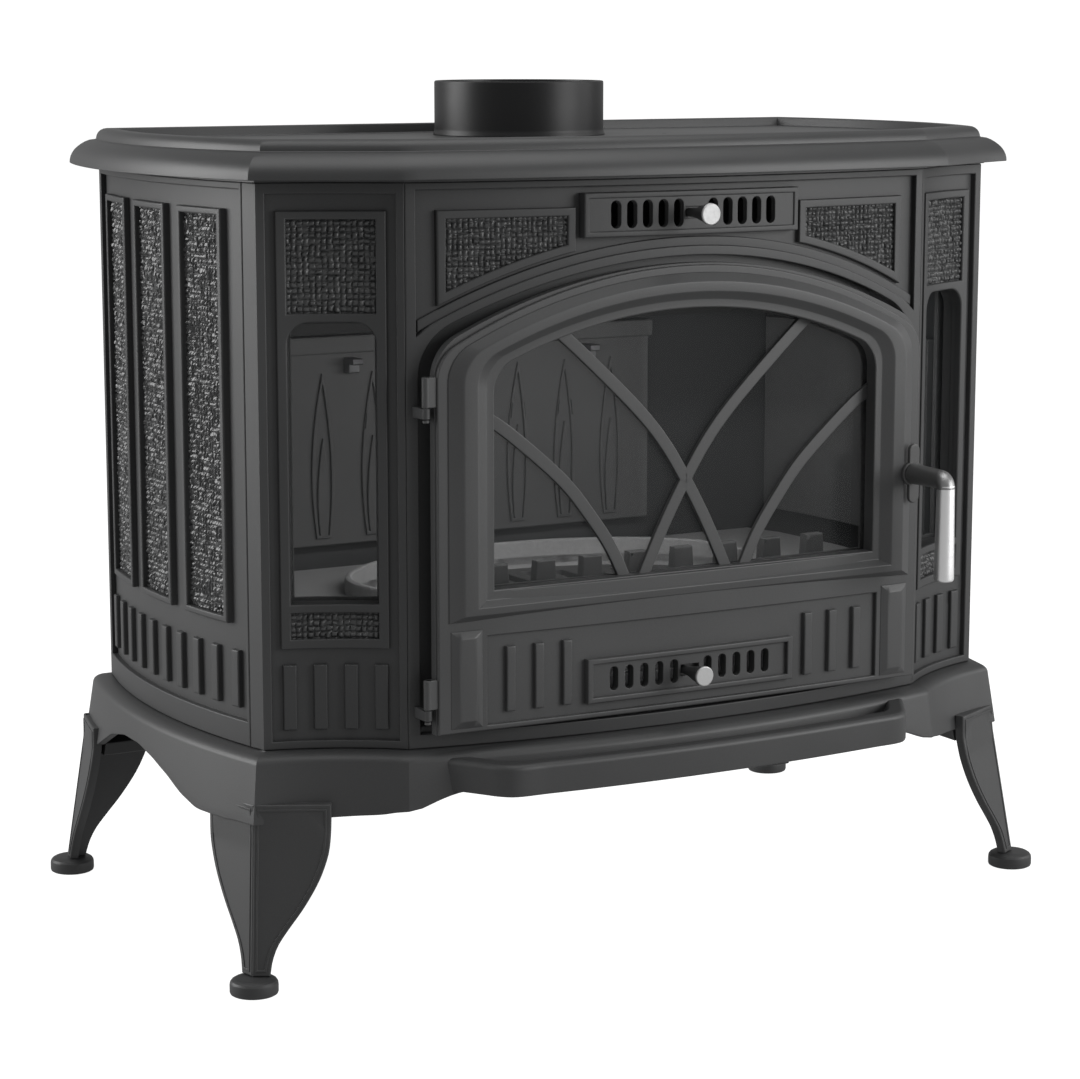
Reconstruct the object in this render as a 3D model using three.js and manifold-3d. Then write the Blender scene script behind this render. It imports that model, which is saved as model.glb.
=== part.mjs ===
// A cast-iron wood burning stove, built standing on its four feet. Millimetres, +Z up, the door
// faces -Y. The driving dimensions come first, then the helpers, then one block for each group of
// castings. Every loose piece is its own named mesh.
import * as THREE from "three";
import { mergeVertices } from "three/addons/utils/BufferGeometryUtils.js";
import Module from "manifold-3d";

// ---- Driving dimensions ----------------------------------------------------------------------
const FLOOR_TOP = 186.5; // top face of the base, on which the body panels stand
const FLOOR_UNDER = 178.5;
const BODY_TOP = 636.8; // top edge of the body panels
const WALL = 10; // thickness of the body panels
const GAP = 0.3; // clearance between pieces that meet

const FRONT_HALF = 247.6; // half width of the front frame
const FRONT_EDGE_Y = -265.8;
const FRONT_BOW = 2260; // the frame stands at y = -(293 - x^2 / 2260)
const FRONT_CENTRE = 293;
const DOOR_CENTRE = 295.5;
const DOOR_BOW = 7670;
const SIDE_RADIUS = 670;
const SIDE_REACH = 371.1;
const SIDE_CENTRE_Y = -46;
const POST_Y = -213; // corner between the diagonal and the side
const POST = [Math.sqrt(SIDE_RADIUS ** 2 - (POST_Y - SIDE_CENTRE_Y) ** 2) + SIDE_REACH - SIDE_RADIUS, POST_Y];
const BACK_Y = 121;

const COLLAR_OUTER = 75;
const COLLAR_INNER = 69;
const COLLAR_TOP = 709.3;
const TOP_SUNK = 661.9; // sunk face of the top plate
const RIM_HALF = 397.7; // the top plate's rim is widest here
const RIM_WIDEST_Y = -47;
const RIM_FRONT_Y = -231.2;
const RIM_BACK_Y = 137;

const SKIRT_BOTTOM = 130;
const SKIRT_FLARE = 22;
const LIP_BOTTOM = 155;
const LIP_TOP = 181;

const DOOR_HALF = 231.7;
const DOOR_BOTTOM = 201;
const DOOR_CROWN = 566;
const OPENING_HALF = 237.6;
const OPENING_BOTTOM = 198.4;
const OPENING_CROWN = 573.7;
const PANE_HALF = 183;
const PANE_BOTTOM = 315;
const PANE_CROWN = 531.5;

const HINGE = [-239.5, -284];
const SPINDLE = [219.5, 380];
const KEEPER_Y = -254.9; // rear face of the latch keeper
const CAM_REACH = 26;
const SLIDE_REST = -5; // where the air-slide knobs stand
const SLOT_FIRST = 16.3;
const SLOT_PITCH = 14.3;
const UPPER_VENT_Z = 608.5;
const LOWER_VENT_Z = 231.6;

const LEG_SPLAY = [13, 21];
const FOOT_HEIGHT = 14;
const FOOT_RADIUS = 19.5;

// ---- Helpers ---------------------------------------------------------------------------------
const wasm = await Module();
wasm.setup();

// A three.js geometry as a solid that can be added, cut and intersected.
function solid(geometry) {
  const bare = geometry.index ? geometry.toNonIndexed() : geometry.clone();
  bare.deleteAttribute("normal");
  bare.deleteAttribute("uv");
  const merged = mergeVertices(bare, 1e-3);
  return new wasm.Manifold(
    new wasm.Mesh({
      numProp: 3,
      vertProperties: merged.attributes.position.array,
      triVerts: new Uint32Array(merged.index.array),
    }),
  );
}

function geometryOf(body) {
  const mesh = body.getMesh();
  const geometry = new THREE.BufferGeometry();
  const positions = new THREE.BufferAttribute(new Float32Array(mesh.vertProperties), mesh.numProp);
  geometry.setAttribute("position", positions);
  geometry.setIndex(new THREE.BufferAttribute(new Uint32Array(mesh.triVerts), 1));
  const flat = geometry.toNonIndexed();
  flat.computeVertexNormals();
  return flat;
}

const unite = (...bodies) => wasm.Manifold.union(bodies);
const cut = (body, ...tools) => body.subtract(wasm.Manifold.union(tools));
const common = (a, b) => a.intersect(b);

// A shape with its rim anticlockwise, whichever way its points run.
function outline(points, ...holes) {
  const rim = points.map(([x, y]) => new THREE.Vector2(x, y));
  if (THREE.ShapeUtils.isClockWise(rim)) rim.reverse();
  const shape = new THREE.Shape(rim);
  for (const hole of holes) shape.holes.push(new THREE.Path(hole.map(([x, y]) => new THREE.Vector2(x, y))));
  return shape;
}

const thick = (shape, depth) => new THREE.ExtrudeGeometry(shape, { depth, bevelEnabled: false });

// A plan outline raised from z0 to z1.
function raise(points, z0, z1, ...holes) {
  return solid(thick(outline(points, ...holes), z1 - z0).translate(0, 0, z0));
}

function box(x0, x1, y0, y1, z0, z1) {
  const geometry = new THREE.BoxGeometry(x1 - x0, y1 - y0, z1 - z0);
  return solid(geometry.translate((x0 + x1) / 2, (y0 + y1) / 2, (z0 + z1) / 2));
}

// A cylinder or cone standing on (x, y, z0).
function post(x, y, z0, z1, r0, r1 = r0, sides = 24) {
  const geometry = new THREE.CylinderGeometry(r1, r0, z1 - z0, sides).rotateX(Math.PI / 2);
  return solid(geometry.translate(x, y, (z0 + z1) / 2));
}

// A cylinder or cone lying along Y from y0 (radius r0) to y1 (radius r1).
function rod(x, z, y0, y1, r0, r1 = r0, sides = 20) {
  const geometry = new THREE.CylinderGeometry(r1, r0, y1 - y0, sides);
  return solid(geometry.translate(x, (y0 + y1) / 2, z));
}

// A wall seen from outside: u runs along it to the right, z is up, w is outwards. Its face follows
// curve(u).
function wall(ox, oy, ux, uy, curve) {
  const length = Math.hypot(ux, uy);
  const [a, b] = [ux / length, uy / length];
  return {
    curve,
    at: (u, w) => [ox + a * u + b * w, oy + b * u - a * w],
    matrix: new THREE.Matrix4().set(a, 0, b, ox, b, 0, -a, oy, 0, 1, 0, 0, 0, 0, 0, 1),
  };
}

// The layer of a wall between depths w0 and w1, following its curve.
function layer(face, w0, w1, u0, u1, z0, z1, steps = 10) {
  const outer = [];
  const inner = [];
  for (let i = 0; i <= steps; i++) {
    const u = u0 + ((u1 - u0) * i) / steps;
    outer.push(face.at(u, face.curve(u) + w1));
    inner.push(face.at(u, face.curve(u) + w0));
  }
  return raise([...outer, ...inner.reverse()], z0, z1);
}

// A shape drawn on a wall in (u, z), pushed through it from depth w0 to w1.
function through(face, points, w0, w1, ...holes) {
  return solid(thick(outline(points, ...holes), w1 - w0).translate(0, 0, w0).applyMatrix4(face.matrix));
}

const rect = (u0, u1, z0, z1) => [
  [u0, z0],
  [u1, z0],
  [u1, z1],
  [u0, z1],
];

function arc(cx, cz, radius, from, to, steps) {
  const points = [];
  for (let i = 0; i <= steps; i++) {
    const angle = from + ((to - from) * i) / steps;
    points.push([cx + radius * Math.cos(angle), cz + radius * Math.sin(angle)]);
  }
  return points;
}

// A rectangle with a flat-arched top: a crown arc and two tighter shoulders.
function arched(half, bottom, crown, radius, shoulder, steps = 14) {
  const centre = crown - radius;
  const height = centre + Math.sqrt((radius - shoulder) ** 2 - (half - shoulder) ** 2);
  const lean = Math.atan2(half - shoulder, height - centre);
  const right = arc(half - shoulder, height, shoulder, 0, Math.PI / 2 - lean, 5);
  const top = arc(0, centre, radius, Math.PI / 2 - lean, Math.PI / 2 + lean, steps);
  const left = arc(shoulder - half, height, shoulder, Math.PI / 2 + lean, Math.PI, 5);
  return [[-half, bottom], [half, bottom], ...right, ...top.slice(1, -1), ...left];
}

// An upright slot with round ends.
function slot(u, z, width, height) {
  const r = width / 2;
  const top = arc(u, z + height / 2 - r, r, 0, Math.PI, 4);
  const foot = arc(u, z - height / 2 + r, r, Math.PI, 2 * Math.PI, 4);
  return [...top, ...foot];
}

// The ten slots of a vent: five on each side of the knob.
function ventSlots(z, width, height) {
  const slots = [];
  for (const side of [-1, 1])
    for (let i = 0; i < 5; i++) slots.push(slot(side * (SLOT_FIRST + SLOT_PITCH * i), z, width, height));
  return slots;
}

// A closed ring of points moved outwards by d along its mitres.
function grown(points, d) {
  const count = points.length;
  return points.map((p, i) => {
    const before = points[(i + count - 1) % count];
    const after = points[(i + 1) % count];
    const a = [p[1] - before[1], before[0] - p[0]];
    const b = [after[1] - p[1], p[0] - after[0]];
    const la = Math.hypot(...a);
    const lb = Math.hypot(...b);
    const n = [a[0] / la + b[0] / lb, a[1] / la + b[1] / lb];
    const scale = (2 * d) / (n[0] * n[0] + n[1] * n[1]);
    return [p[0] + n[0] * scale, p[1] + n[1] * scale];
  });
}

// A solid whose cross-section is the outline grown by each [z, d] of the profile in turn.
function moulded(points, profile) {
  const count = points.length;
  const rings = profile.map(([z, d]) => grown(points, d).map(([x, y]) => new THREE.Vector3(x, y, z)));
  const corners = [];
  for (let r = 0; r + 1 < rings.length; r++)
    for (let i = 0; i < count; i++) {
      const j = (i + 1) % count;
      const [a, b, c, d] = [rings[r][i], rings[r][j], rings[r + 1][j], rings[r + 1][i]];
      corners.push(a, b, c, a, c, d);
    }
  const cap = (ring, up) => {
    const flat = ring.map((p) => new THREE.Vector2(p.x, p.y));
    for (const [a, b, c] of THREE.ShapeUtils.triangulateShape(flat, []))
      corners.push(...(up ? [ring[a], ring[b], ring[c]] : [ring[a], ring[c], ring[b]]));
  };
  cap(rings[0], false);
  cap(rings[rings.length - 1], true);
  return solid(new THREE.BufferGeometry().setFromPoints(corners));
}

function finish(name, color, roughness, metalness) {
  return new THREE.MeshStandardMaterial({ name, color, roughness, metalness });
}
const IRON = finish("cast_iron", 0x2f3032, 0.55, 0.3);
const DARK = finish("inner_iron", 0x232426, 0.8, 0.2);
const STEEL = finish("bright_steel", 0xd6d7d8, 0.25, 1);
const ROPE = finish("seal_rope", 0x6b6862, 0.95, 0);
const ZINC = finish("plated_steel", 0x77797b, 0.4, 0.9);
const GLASS = finish("glass", 0x8d9496, 0.05, 0);
GLASS.transparent = true;
GLASS.opacity = 0.35;

const stove = new THREE.Group();
stove.name = "wood_stove";

function add(name, body, material) {
  const mesh = new THREE.Mesh(geometryOf(body), material);
  mesh.name = name;
  stove.add(mesh);
}

// The same piece on both sides: the body handed over is the right-hand one.
function addPair(name, body, material, right = "_right", left = "_left") {
  add(name + right, body, material);
  const mirrored = geometryOf(body).scale(-1, 1, 1);
  const place = mirrored.getAttribute("position");
  for (let i = 0; i < place.count; i += 3) {
    const [x, y, z] = [place.getX(i), place.getY(i), place.getZ(i)];
    place.setXYZ(i, place.getX(i + 1), place.getY(i + 1), place.getZ(i + 1));
    place.setXYZ(i + 1, x, y, z);
  }
  mirrored.computeVertexNormals();
  const mesh = new THREE.Mesh(mirrored, material);
  mesh.name = name + left;
  stove.add(mesh);
}

// ---- Walls of the body -----------------------------------------------------------------------
const front = wall(0, 0, 1, 0, (u) => FRONT_CENTRE - (u * u) / FRONT_BOW);
const doorFace = wall(0, 0, 1, 0, (u) => DOOR_CENTRE - (u * u) / DOOR_BOW);
const sideCurve = (u) => Math.sqrt(SIDE_RADIUS ** 2 - u * u) + SIDE_REACH - SIDE_RADIUS;
const side = wall(0, SIDE_CENTRE_Y, 0, 1, sideCurve);
const back = wall(0, BACK_Y, -1, 0, () => 0);
const DIAGONAL = [POST[0] - FRONT_HALF, POST[1] - FRONT_EDGE_Y];
const DIAGONAL_HALF = Math.hypot(...DIAGONAL) / 2;
const diagonal = wall(
  (POST[0] + FRONT_HALF) / 2,
  (POST[1] + FRONT_EDGE_Y) / 2,
  ...DIAGONAL,
  (u) => -7 * (1 - (u / DIAGONAL_HALF) ** 2),
);

// The plan outline of the body, anticlockwise, from the middle of the front round to the right.
function bodyOutline() {
  const right = [];
  for (let i = 0; i <= 7; i++) {
    const u = (FRONT_HALF * i) / 7;
    right.push(front.at(u, front.curve(u)));
  }
  for (let i = 1; i < 5; i++) {
    const u = DIAGONAL_HALF * ((2 * i) / 5 - 1);
    right.push(diagonal.at(u, diagonal.curve(u)));
  }
  for (let i = 0; i <= 10; i++) {
    const u = POST[1] - SIDE_CENTRE_Y + ((BACK_Y - POST[1]) * i) / 10;
    right.push(side.at(u, side.curve(u)));
  }
  const left = right.slice(1).map(([x, y]) => [-x, y]);
  return [...right, ...left.reverse()];
}
const BODY = bodyOutline();

// ---- Base: flared skirt, hearth floor and ash lip ---------------------------------------------
const skirtOuter = moulded(BODY, [
  [100, SKIRT_FLARE + 3],
  [SKIRT_BOTTOM, SKIRT_FLARE],
  [178.5, 15],
  [182.5, 12.5],
  [185.4, 8],
  [FLOOR_TOP, 3],
]);
const skirtInner = moulded(BODY, [
  [90, SKIRT_FLARE - 4],
  [SKIRT_BOTTOM, SKIRT_FLARE - 8],
  [FLOOR_UNDER - 8, 7],
  [FLOOR_UNDER, 2],
]);
const frontSkirtEdge = [
  [-420, 90], [420, 90], [420, SKIRT_BOTTOM], [366, SKIRT_BOTTOM], [318, 134], [262, 137.5], [226, 149],
  [204, 154], [-204, 154], [-226, 149], [-262, 137.5], [-318, 134], [-366, SKIRT_BOTTOM],
  [-420, SKIRT_BOTTOM],
];
const sideSkirtEdge = [
  [-300, 90], [320, 90], [320, 132], [78, 132], [58, 142], [30, 153.5], [-5, 160.5],
  [-40, 160.5], [-70, 155], [-100, 146.5], [-124, 137], [-142, SKIRT_BOTTOM], [-300, SKIRT_BOTTOM],
];
const backSkirtEdge = [
  [-420, 90], [420, 90], [420, 132], [306, 132], [270, 148], [220, 157], [-220, 157], [-270, 148],
  [-306, 132], [-420, 132],
];
const sideProfile = wall(0, 0, 0, 1, () => 0);
const skirt = cut(
  skirtOuter,
  skirtInner,
  common(through(front, frontSkirtEdge, -50, 450), box(-430, 430, -420, -195, 60, 175)),
  through(sideProfile, sideSkirtEdge, -450, 450),
  common(through(front, backSkirtEdge, -300, 0), box(-430, 430, 100, 250, 60, 175)),
);
const lipEdge = (inset) => {
  const bow = arc(0, -344 + 1600, 1600 - inset, -Math.PI / 2 - 0.107, -Math.PI / 2 + 0.107, 10);
  const [x, y] = bow[0];
  const corner = [[-222 + inset, -286], [-203 + inset, -316], [-192 + inset * 0.9, y + 9], [x - 6, y + 3]];
  return [...corner, ...bow, ...corner.reverse().map(([a, b]) => [-a, b])];
};
const lip = cut(
  unite(
    raise(lipEdge(0), LIP_BOTTOM, LIP_TOP - 5),
    raise(lipEdge(1.5), LIP_TOP - 5.5, LIP_TOP - 1.8),
    raise(lipEdge(4), LIP_TOP - 2, LIP_TOP),
  ),
  common(raise(lipEdge(13), LIP_TOP - 8, LIP_TOP + 4), box(-300, 300, -400, -302, 150, 200)),
  raise(lipEdge(7), LIP_BOTTOM - 2, LIP_TOP - 13),
  box(-300, 300, -290, -200, 100, 200),
);
const legBoltPlaces = [
  [329, -196],
  [328, 100],
];
const boltHoles = legBoltPlaces.flatMap(([x, y]) =>
  [-1, 1].map((way) => post(way * x, y, FLOOR_UNDER - 5, FLOOR_TOP + 5, 3.6, 3.6, 12)),
);
add("base_casting", cut(unite(skirt, lip), ...boltHoles), IRON);

// ---- Legs, feet and leg bolts ----------------------------------------------------------------
// Width of a leg's flange at each height, from the ridge outwards.
const FLANGE = [
  [13.5, 14.5], [26, 16.5], [38, 21], [50, 29], [66, 40.5], [84, 51], [100, 57.5], [116, 61], [129.4, 62],
];
const LEG_TOP = 129.4;

// A flange on the wall through the ridge (x, y), reaching forwards (way 1) or backwards along it.
function legFlange(x, y, dirX, dirY, way) {
  const face = wall(x, y, dirX, dirY, () => 0);
  const points = [[0, FLANGE[0][0]], ...FLANGE.map(([z, w]) => [way * w, z]), [0, LEG_TOP]];
  return through(face, points, -7.5, 0);
}

// Leans a leg outwards as it goes down.
function splayed(body, dx, dy) {
  const lean = new THREE.Matrix4().set(
    1, 0, -dx / LEG_TOP, dx,
    0, 1, -dy / LEG_TOP, dy,
    0, 0, 1, 0,
    0, 0, 0, 1,
  );
  return solid(geometryOf(body).applyMatrix4(lean));
}

const legSolids = {};
{
  const ridge = [367, -228.5];
  const alongSide = legFlange(...ridge, 14, 69, 1);
  const alongDiagonal = legFlange(...ridge, 102.9, 52.8, -1);
  const tower = unite(
    box(318, 340, -207, -185, LEG_TOP - 8, 178.2),
    box(325, 364.5, -226, -190, LEG_TOP - 12, LEG_TOP),
  );
  const body = splayed(unite(alongSide, alongDiagonal), LEG_SPLAY[0], -LEG_SPLAY[1]);
  legSolids.front = cut(unite(body, tower), skirtOuterShell(), post(329, -196, 100, 200, 3.3, 3.3, 12));
}
{
  const ridge = [370, 141];
  const alongSide = legFlange(...ridge, -18, 78, -1);
  const alongBack = legFlange(...ridge, -1, 0, 1);
  const tower = unite(
    box(317, 339, 89, 111, LEG_TOP - 8, 178.2),
    box(322, 368, 95, 137, LEG_TOP - 12, LEG_TOP),
  );
  const body = splayed(unite(alongSide, alongBack), LEG_SPLAY[0], LEG_SPLAY[1]);
  legSolids.back = cut(unite(body, tower), skirtOuterShell(), post(328, 100, 100, 200, 3.3, 3.3, 12));
}

// The skirt with a little clearance, so that nothing in it touches the legs.
function skirtOuterShell() {
  const outer = moulded(BODY, [
    [SKIRT_BOTTOM - 0.4, SKIRT_FLARE + 6],
    [178.5, 16],
  ]);
  const inner = moulded(BODY, [
    [SKIRT_BOTTOM - 2, SKIRT_FLARE - 8.6],
    [FLOOR_UNDER - 8, 6.4],
    [FLOOR_UNDER + 1, 1],
  ]);
  return outer.subtract(inner);
}

addPair("leg_front", legSolids.front, IRON);
addPair("leg_back", legSolids.back, IRON);

function foot(x, y) {
  const points = [
    [0, 0], [FOOT_RADIUS - 1.5, 0], [FOOT_RADIUS, 2], [FOOT_RADIUS, 8.5], [FOOT_RADIUS - 1.6, 11],
    [FOOT_RADIUS - 5, 12.8], [0, FOOT_HEIGHT - 0.8],
  ];
  const profile = points.map(([r, z]) => new THREE.Vector2(r, z));
  const turned = new THREE.LatheGeometry(profile, 20).rotateX(Math.PI / 2);
  return solid(turned.translate(x, y, 0));
}
addPair("foot_front", foot(376.5, -246.5), IRON);
addPair("foot_back", foot(378.5, 157), IRON);

function bolt(x, y) {
  const shank = post(x, y, 150, FLOOR_TOP + GAP + 0.2, 2.9, 2.9, 12);
  return unite(shank, post(x, y, FLOOR_TOP + GAP, FLOOR_TOP + 5, 6.5, 6.5, 6));
}
addPair("leg_bolt_front", bolt(...legBoltPlaces[0]), ZINC);
addPair("leg_bolt_back", bolt(...legBoltPlaces[1]), ZINC);

// ---- Front frame -----------------------------------------------------------------------------
const PANEL_FOOT = FLOOR_TOP + GAP;
const openingArch = arched(OPENING_HALF, OPENING_BOTTOM, OPENING_CROWN, 493.7, 47);
const mouldingArch = arched(OPENING_HALF + 12, 150, 581.6, 495.2, 47);
const fieldShape = rect(-239, 239, 470, 631);
const spandrelOuter = (way) => {
  const curve = arc(0, 86.4, 505, Math.PI / 2 - 0.454, Math.PI / 2 - 0.2125, 8);
  const points = [...curve, [106.5, 615], [222, 615]];
  return points.map(([x, z]) => [way * x, z]);
};
const spandrelInner = (way) => {
  const curve = arc(0, 86.4, 512, Math.PI / 2 - 0.433, Math.PI / 2 - 0.224, 8);
  const points = [...curve, [113.5, 608], [214.5, 608]];
  return points.map(([x, z]) => [way * x, z]);
};
const recess = cut(
  common(through(front, fieldShape, 200, 320), layer(front, -5, 20, -239, 239, 460, 640)),
  through(front, mouldingArch, 200, 320),
);
const spandrels = [-1, 1].map((way) =>
  common(
    through(front, spandrelOuter(way), 200, 320, spandrelInner(way)),
    layer(front, -6, -1, -240, 240, 520, 625),
  ),
);
const ventWindow = through(front, rect(-88, 88, 596.5, 620.5), 200, 320);
let frame = common(
  layer(front, -WALL, 0, -FRONT_HALF + 0.2, FRONT_HALF - 0.2, PANEL_FOOT, BODY_TOP),
  through(front, rect(-FRONT_HALF, FRONT_HALF, PANEL_FOOT, BODY_TOP), 200, 320),
);
frame = unite(cut(frame, recess), ...spandrels);
const lugAt = (z0, z1, reach) =>
  unite(post(...HINGE, z0, z1, 5.5, 5.5, 20), box(HINGE[0] - 5.5, HINGE[0] + reach, HINGE[1], -262, z0, z1));
const pinHole = (z0, z1, r) => post(...HINGE, z0, z1, r, r, 16);
frame = cut(frame, ventWindow, through(front, openingArch, 200, 320));
const frameLugs = [
  cut(lugAt(454, 462.5, 1.5), pinHole(440, 480, 3)),
  cut(lugAt(213, 221.5, 1.5), pinHole(200, 230, 3)),
];
add("front_frame", unite(frame, ...frameLugs), IRON);
for (const [name, z] of [["hinge_pin_upper", 454], ["hinge_pin_lower", 213]]) {
  const head = post(...HINGE, z - 4, z - 0.4, 4.6, 4.6, 16);
  add(name, unite(post(...HINGE, z - 0.5, z + 33, 2.8, 2.8, 16), head), ZINC);
}
// A wear pad on the back of the stile, over which the latch cam turns.
add("latch_keeper", box(238.5, 246.5, KEEPER_Y - 0.9, KEEPER_Y, 364, 396), ZINC);

// ---- Upper vent: cover, slide and knob --------------------------------------------------------
const VENT_WIDTH = 101.7;
const upperSlots = ventSlots(UPPER_VENT_Z, 8.8, 22);
const knobPass = (z) => slotLying(SLIDE_REST - 4.2, SLIDE_REST + 12, z, 8);

function slotLying(u0, u1, z, height) {
  return rect(u0, u1, z - height / 2, z + height / 2);
}

const upperShape = rect(-VENT_WIDTH, VENT_WIDTH, 590.7, 626.2);
const cover = cut(
  common(through(front, upperShape, 200, 330), layer(front, -4.7, 4, -104, 104, 585, 630)),
  common(through(front, rect(-92, 92, 594.5, 622.2), 200, 330), layer(front, -6, 1, -93, 93, 585, 630)),
  common(
    through(front, rect(-94, 94, 594.6, 622.4), 200, 330),
    layer(front, 3, 6, -95, 95, 585, 630),
  ),
  ...upperSlots.map((points) => through(front, points, 200, 330)),
  through(front, knobPass(UPPER_VENT_Z), 200, 330),
);
add("upper_vent_cover", cover, IRON);

function airSlide(face, z, half, height, w0, w1, faceY, discY, slotWidth, slotHeight) {
  const shape = through(face, rect(-half, half, z - height / 2, z + height / 2), 200, 330);
  const plate = cut(
    common(shape, layer(face, w0, w1, -half, half, z - 30, z + 30)),
    ...ventSlots(z, slotWidth, slotHeight).map((points) => through(face, points, 200, 330)),
  );
  const neck = unite(
    rod(SLIDE_REST, z, discY, faceY - 6, 8.2, 4),
    rod(SLIDE_REST, z, faceY - 6.5, -face.curve(0) - w0, 3.6),
  );
  return unite(plate, neck);
}
add("upper_air_slide", airSlide(front, UPPER_VENT_Z, 82, 25.5, -2.4, 0, -297, -324.6, 8.8, 22), IRON);
add("upper_knob_cap", rod(SLIDE_REST, UPPER_VENT_Z, -326.8, -324.8, 8.7, 8.7, 32), STEEL);

// ---- Diagonal panels with their windows --------------------------------------------------------
const postSeam = -195.9;
const cornerSide = common(
  layer(side, -WALL, 0, POST[1] - SIDE_CENTRE_Y - 3, postSeam - SIDE_CENTRE_Y - 0.2, PANEL_FOOT, BODY_TOP, 3),
  box(300, 400, POST[1], postSeam - 0.2, 100, 700),
);
const windowShape = [
  ...arc(17.7, 511, 17, 0, Math.PI / 2, 5),
  ...arc(-17.7, 511, 17, Math.PI / 2, Math.PI, 5),
  [-34.7, 304],
  [34.7, 304],
];
const raisedDiagonal = common(
  through(
    diagonal,
    rect(-43, 43, 268, 615),
    -40, 40,
    rect(-34.7, 34.7, 535, 608),
    windowShape,
    rect(-34.7, 34.7, 276, 297),
  ),
  layer(diagonal, -6.5, -0.6, -44, 44, 260, 620, 8),
);
const diagonalBars = [-36.8, -12.3, 12.3, 36.8].map((u) => {
  const shape = through(diagonal, rect(u - 5.5, u + 5.5, 202, 255), -40, 40);
  return common(shape, layer(diagonal, -5, -1, -50, 50, 195, 260, 8));
});
const windowSeat = through(diagonal, rect(-43, 43, 296, 536), -17.8, -13, windowShape);
let diagonalPanel = cut(
  layer(diagonal, -WALL, 0, -DIAGONAL_HALF, DIAGONAL_HALF, PANEL_FOOT, BODY_TOP, 8),
  common(
    through(diagonal, rect(-50.5, 50.5, 193.5, 628), -40, 40),
    layer(diagonal, -4.5, 20, -51, 51, 190, 630, 8),
  ),
);
diagonalPanel = unite(diagonalPanel, raisedDiagonal, ...diagonalBars, windowSeat);
diagonalPanel = cut(
  diagonalPanel,
  through(diagonal, windowShape, -60, 60),
  box(200, FRONT_HALF + 0.15, -320, -200, 100, 700),
);
addPair("corner_panel", unite(diagonalPanel, cornerSide), IRON);
addPair("side_glass", through(diagonal, rect(-41, 41, 298, 534), -22.1, -18.1), GLASS);
const retainer = through(diagonal, rect(-43, 43, 294, 538), -26, -22.4, rect(-33, 33, 306, 525));
addPair("side_glass_retainer", retainer, DARK);

// ---- Side panels, back panel and rear shield ----------------------------------------------------
const SIDE_MIDDLE = -41 - SIDE_CENTRE_Y;
const sideField = common(
  through(side, rect(SIDE_MIDDLE - 151, SIDE_MIDDLE + 151, 207, 631), -500, 500),
  layer(side, -5, 20, -160, 160, 200, 640, 12),
);
const tallFrames = [-92, 0, 92].map((middle) => {
  const u = SIDE_MIDDLE + middle;
  const ring = through(side, rect(u - 34, u + 34, 283.5, 615), -500, 500, rect(u - 28, u + 28, 290, 608.5));
  return common(ring, layer(side, -6, -0.8, -160, 160, 270, 625, 12));
});
const sideBars = [];
for (let i = 0; i < 10; i++) {
  const u = SIDE_MIDDLE - 134.1 + 29.8 * i;
  const shape = through(side, rect(u - 5, u + 5, 216, 263), -500, 500);
  sideBars.push(common(shape, layer(side, -6, -1, -160, 160, 205, 275, 12)));
}
const sideReach = [postSeam - SIDE_CENTRE_Y + 0.1, BACK_Y - SIDE_CENTRE_Y - 0.3];
const sideShell = cut(layer(side, -WALL, 0, ...sideReach, PANEL_FOOT, BODY_TOP, 12), sideField);
const sidePanel = unite(sideShell, ...tallFrames, ...sideBars);
addPair("side_panel", common(sidePanel, box(300, 400, postSeam + 0.1, BACK_Y, 100, 700)), IRON);

const backHoles = [-1, 1].flatMap((way) => [230, 580].map((z) => rod(way * 250, z, 100, 130, 3.2, 3.2, 12)));
const ribs = [-150, 0, 150].map((x) => box(x - 5, x + 5, BACK_Y - 0.5, BACK_Y + 4, 240, 580));
const backSheet = box(-340, 340, BACK_Y - WALL, BACK_Y, PANEL_FOOT, BODY_TOP);
add("back_panel", cut(unite(backSheet, ...ribs), ...backHoles), IRON);
const standoffs = [-1, 1].flatMap((way) =>
  [230, 580].map((z) => rod(way * 250, z, BACK_Y + GAP, 133, 7, 7, 16)),
);
const vents = [-2, -1, 0, 1, 2].map((i) => box(i * 90 - 30, i * 90 + 30, 130, 136, 560, 568));
add("rear_shield", cut(unite(box(-300, 300, 132, 134, 205, 612), ...standoffs), ...vents), DARK);

// ---- Top plate and flue collar -------------------------------------------------------------------
function topOutline() {
  const bow = arc(0, -310 + 1437, 1437, -Math.PI / 2, -Math.PI / 2 + 0.1792, 7);
  const rim = [];
  for (let i = 0; i <= 10; i++) {
    const y = RIM_FRONT_Y + ((RIM_BACK_Y - RIM_FRONT_Y) * i) / 10;
    const radius = y < RIM_WIDEST_Y ? 500 : 624;
    rim.push([RIM_HALF - (y - RIM_WIDEST_Y) ** 2 / (2 * radius), y]);
  }
  const hollow = [[283, -272.5], [310, -257.5], [337, -243.5]];
  const right = [...bow, ...hollow, ...rim];
  const left = right.slice(1).map(([x, y]) => [-x, y]);
  return [...right, ...left.reverse()];
}
const RIM = topOutline();
const plateTop = moulded(RIM, [
  [639.4, -2], [640, 0], [644.5, -0.8], [649.5, -3.4], [654, -7.6], [658, -13], [660.3, -18.5],
  [660.8, -21.5], [664.4, -22.2], [667.6, -24.4], [669.4, -27.8], [670, -31],
]);
const sunk = moulded(RIM, [
  [TOP_SUNK, -43], [669.2, -40.5], [675, -39.5],
]);
const under = moulded(RIM, [
  [630, -36], [BODY_TOP + 12, -40],
]);
const seatRing = moulded(BODY, [[BODY_TOP + GAP, 2], [BODY_TOP + 14, 2]]);
const seatHole = moulded(BODY, [[600, -15], [BODY_TOP + 20, -15]]);
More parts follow.
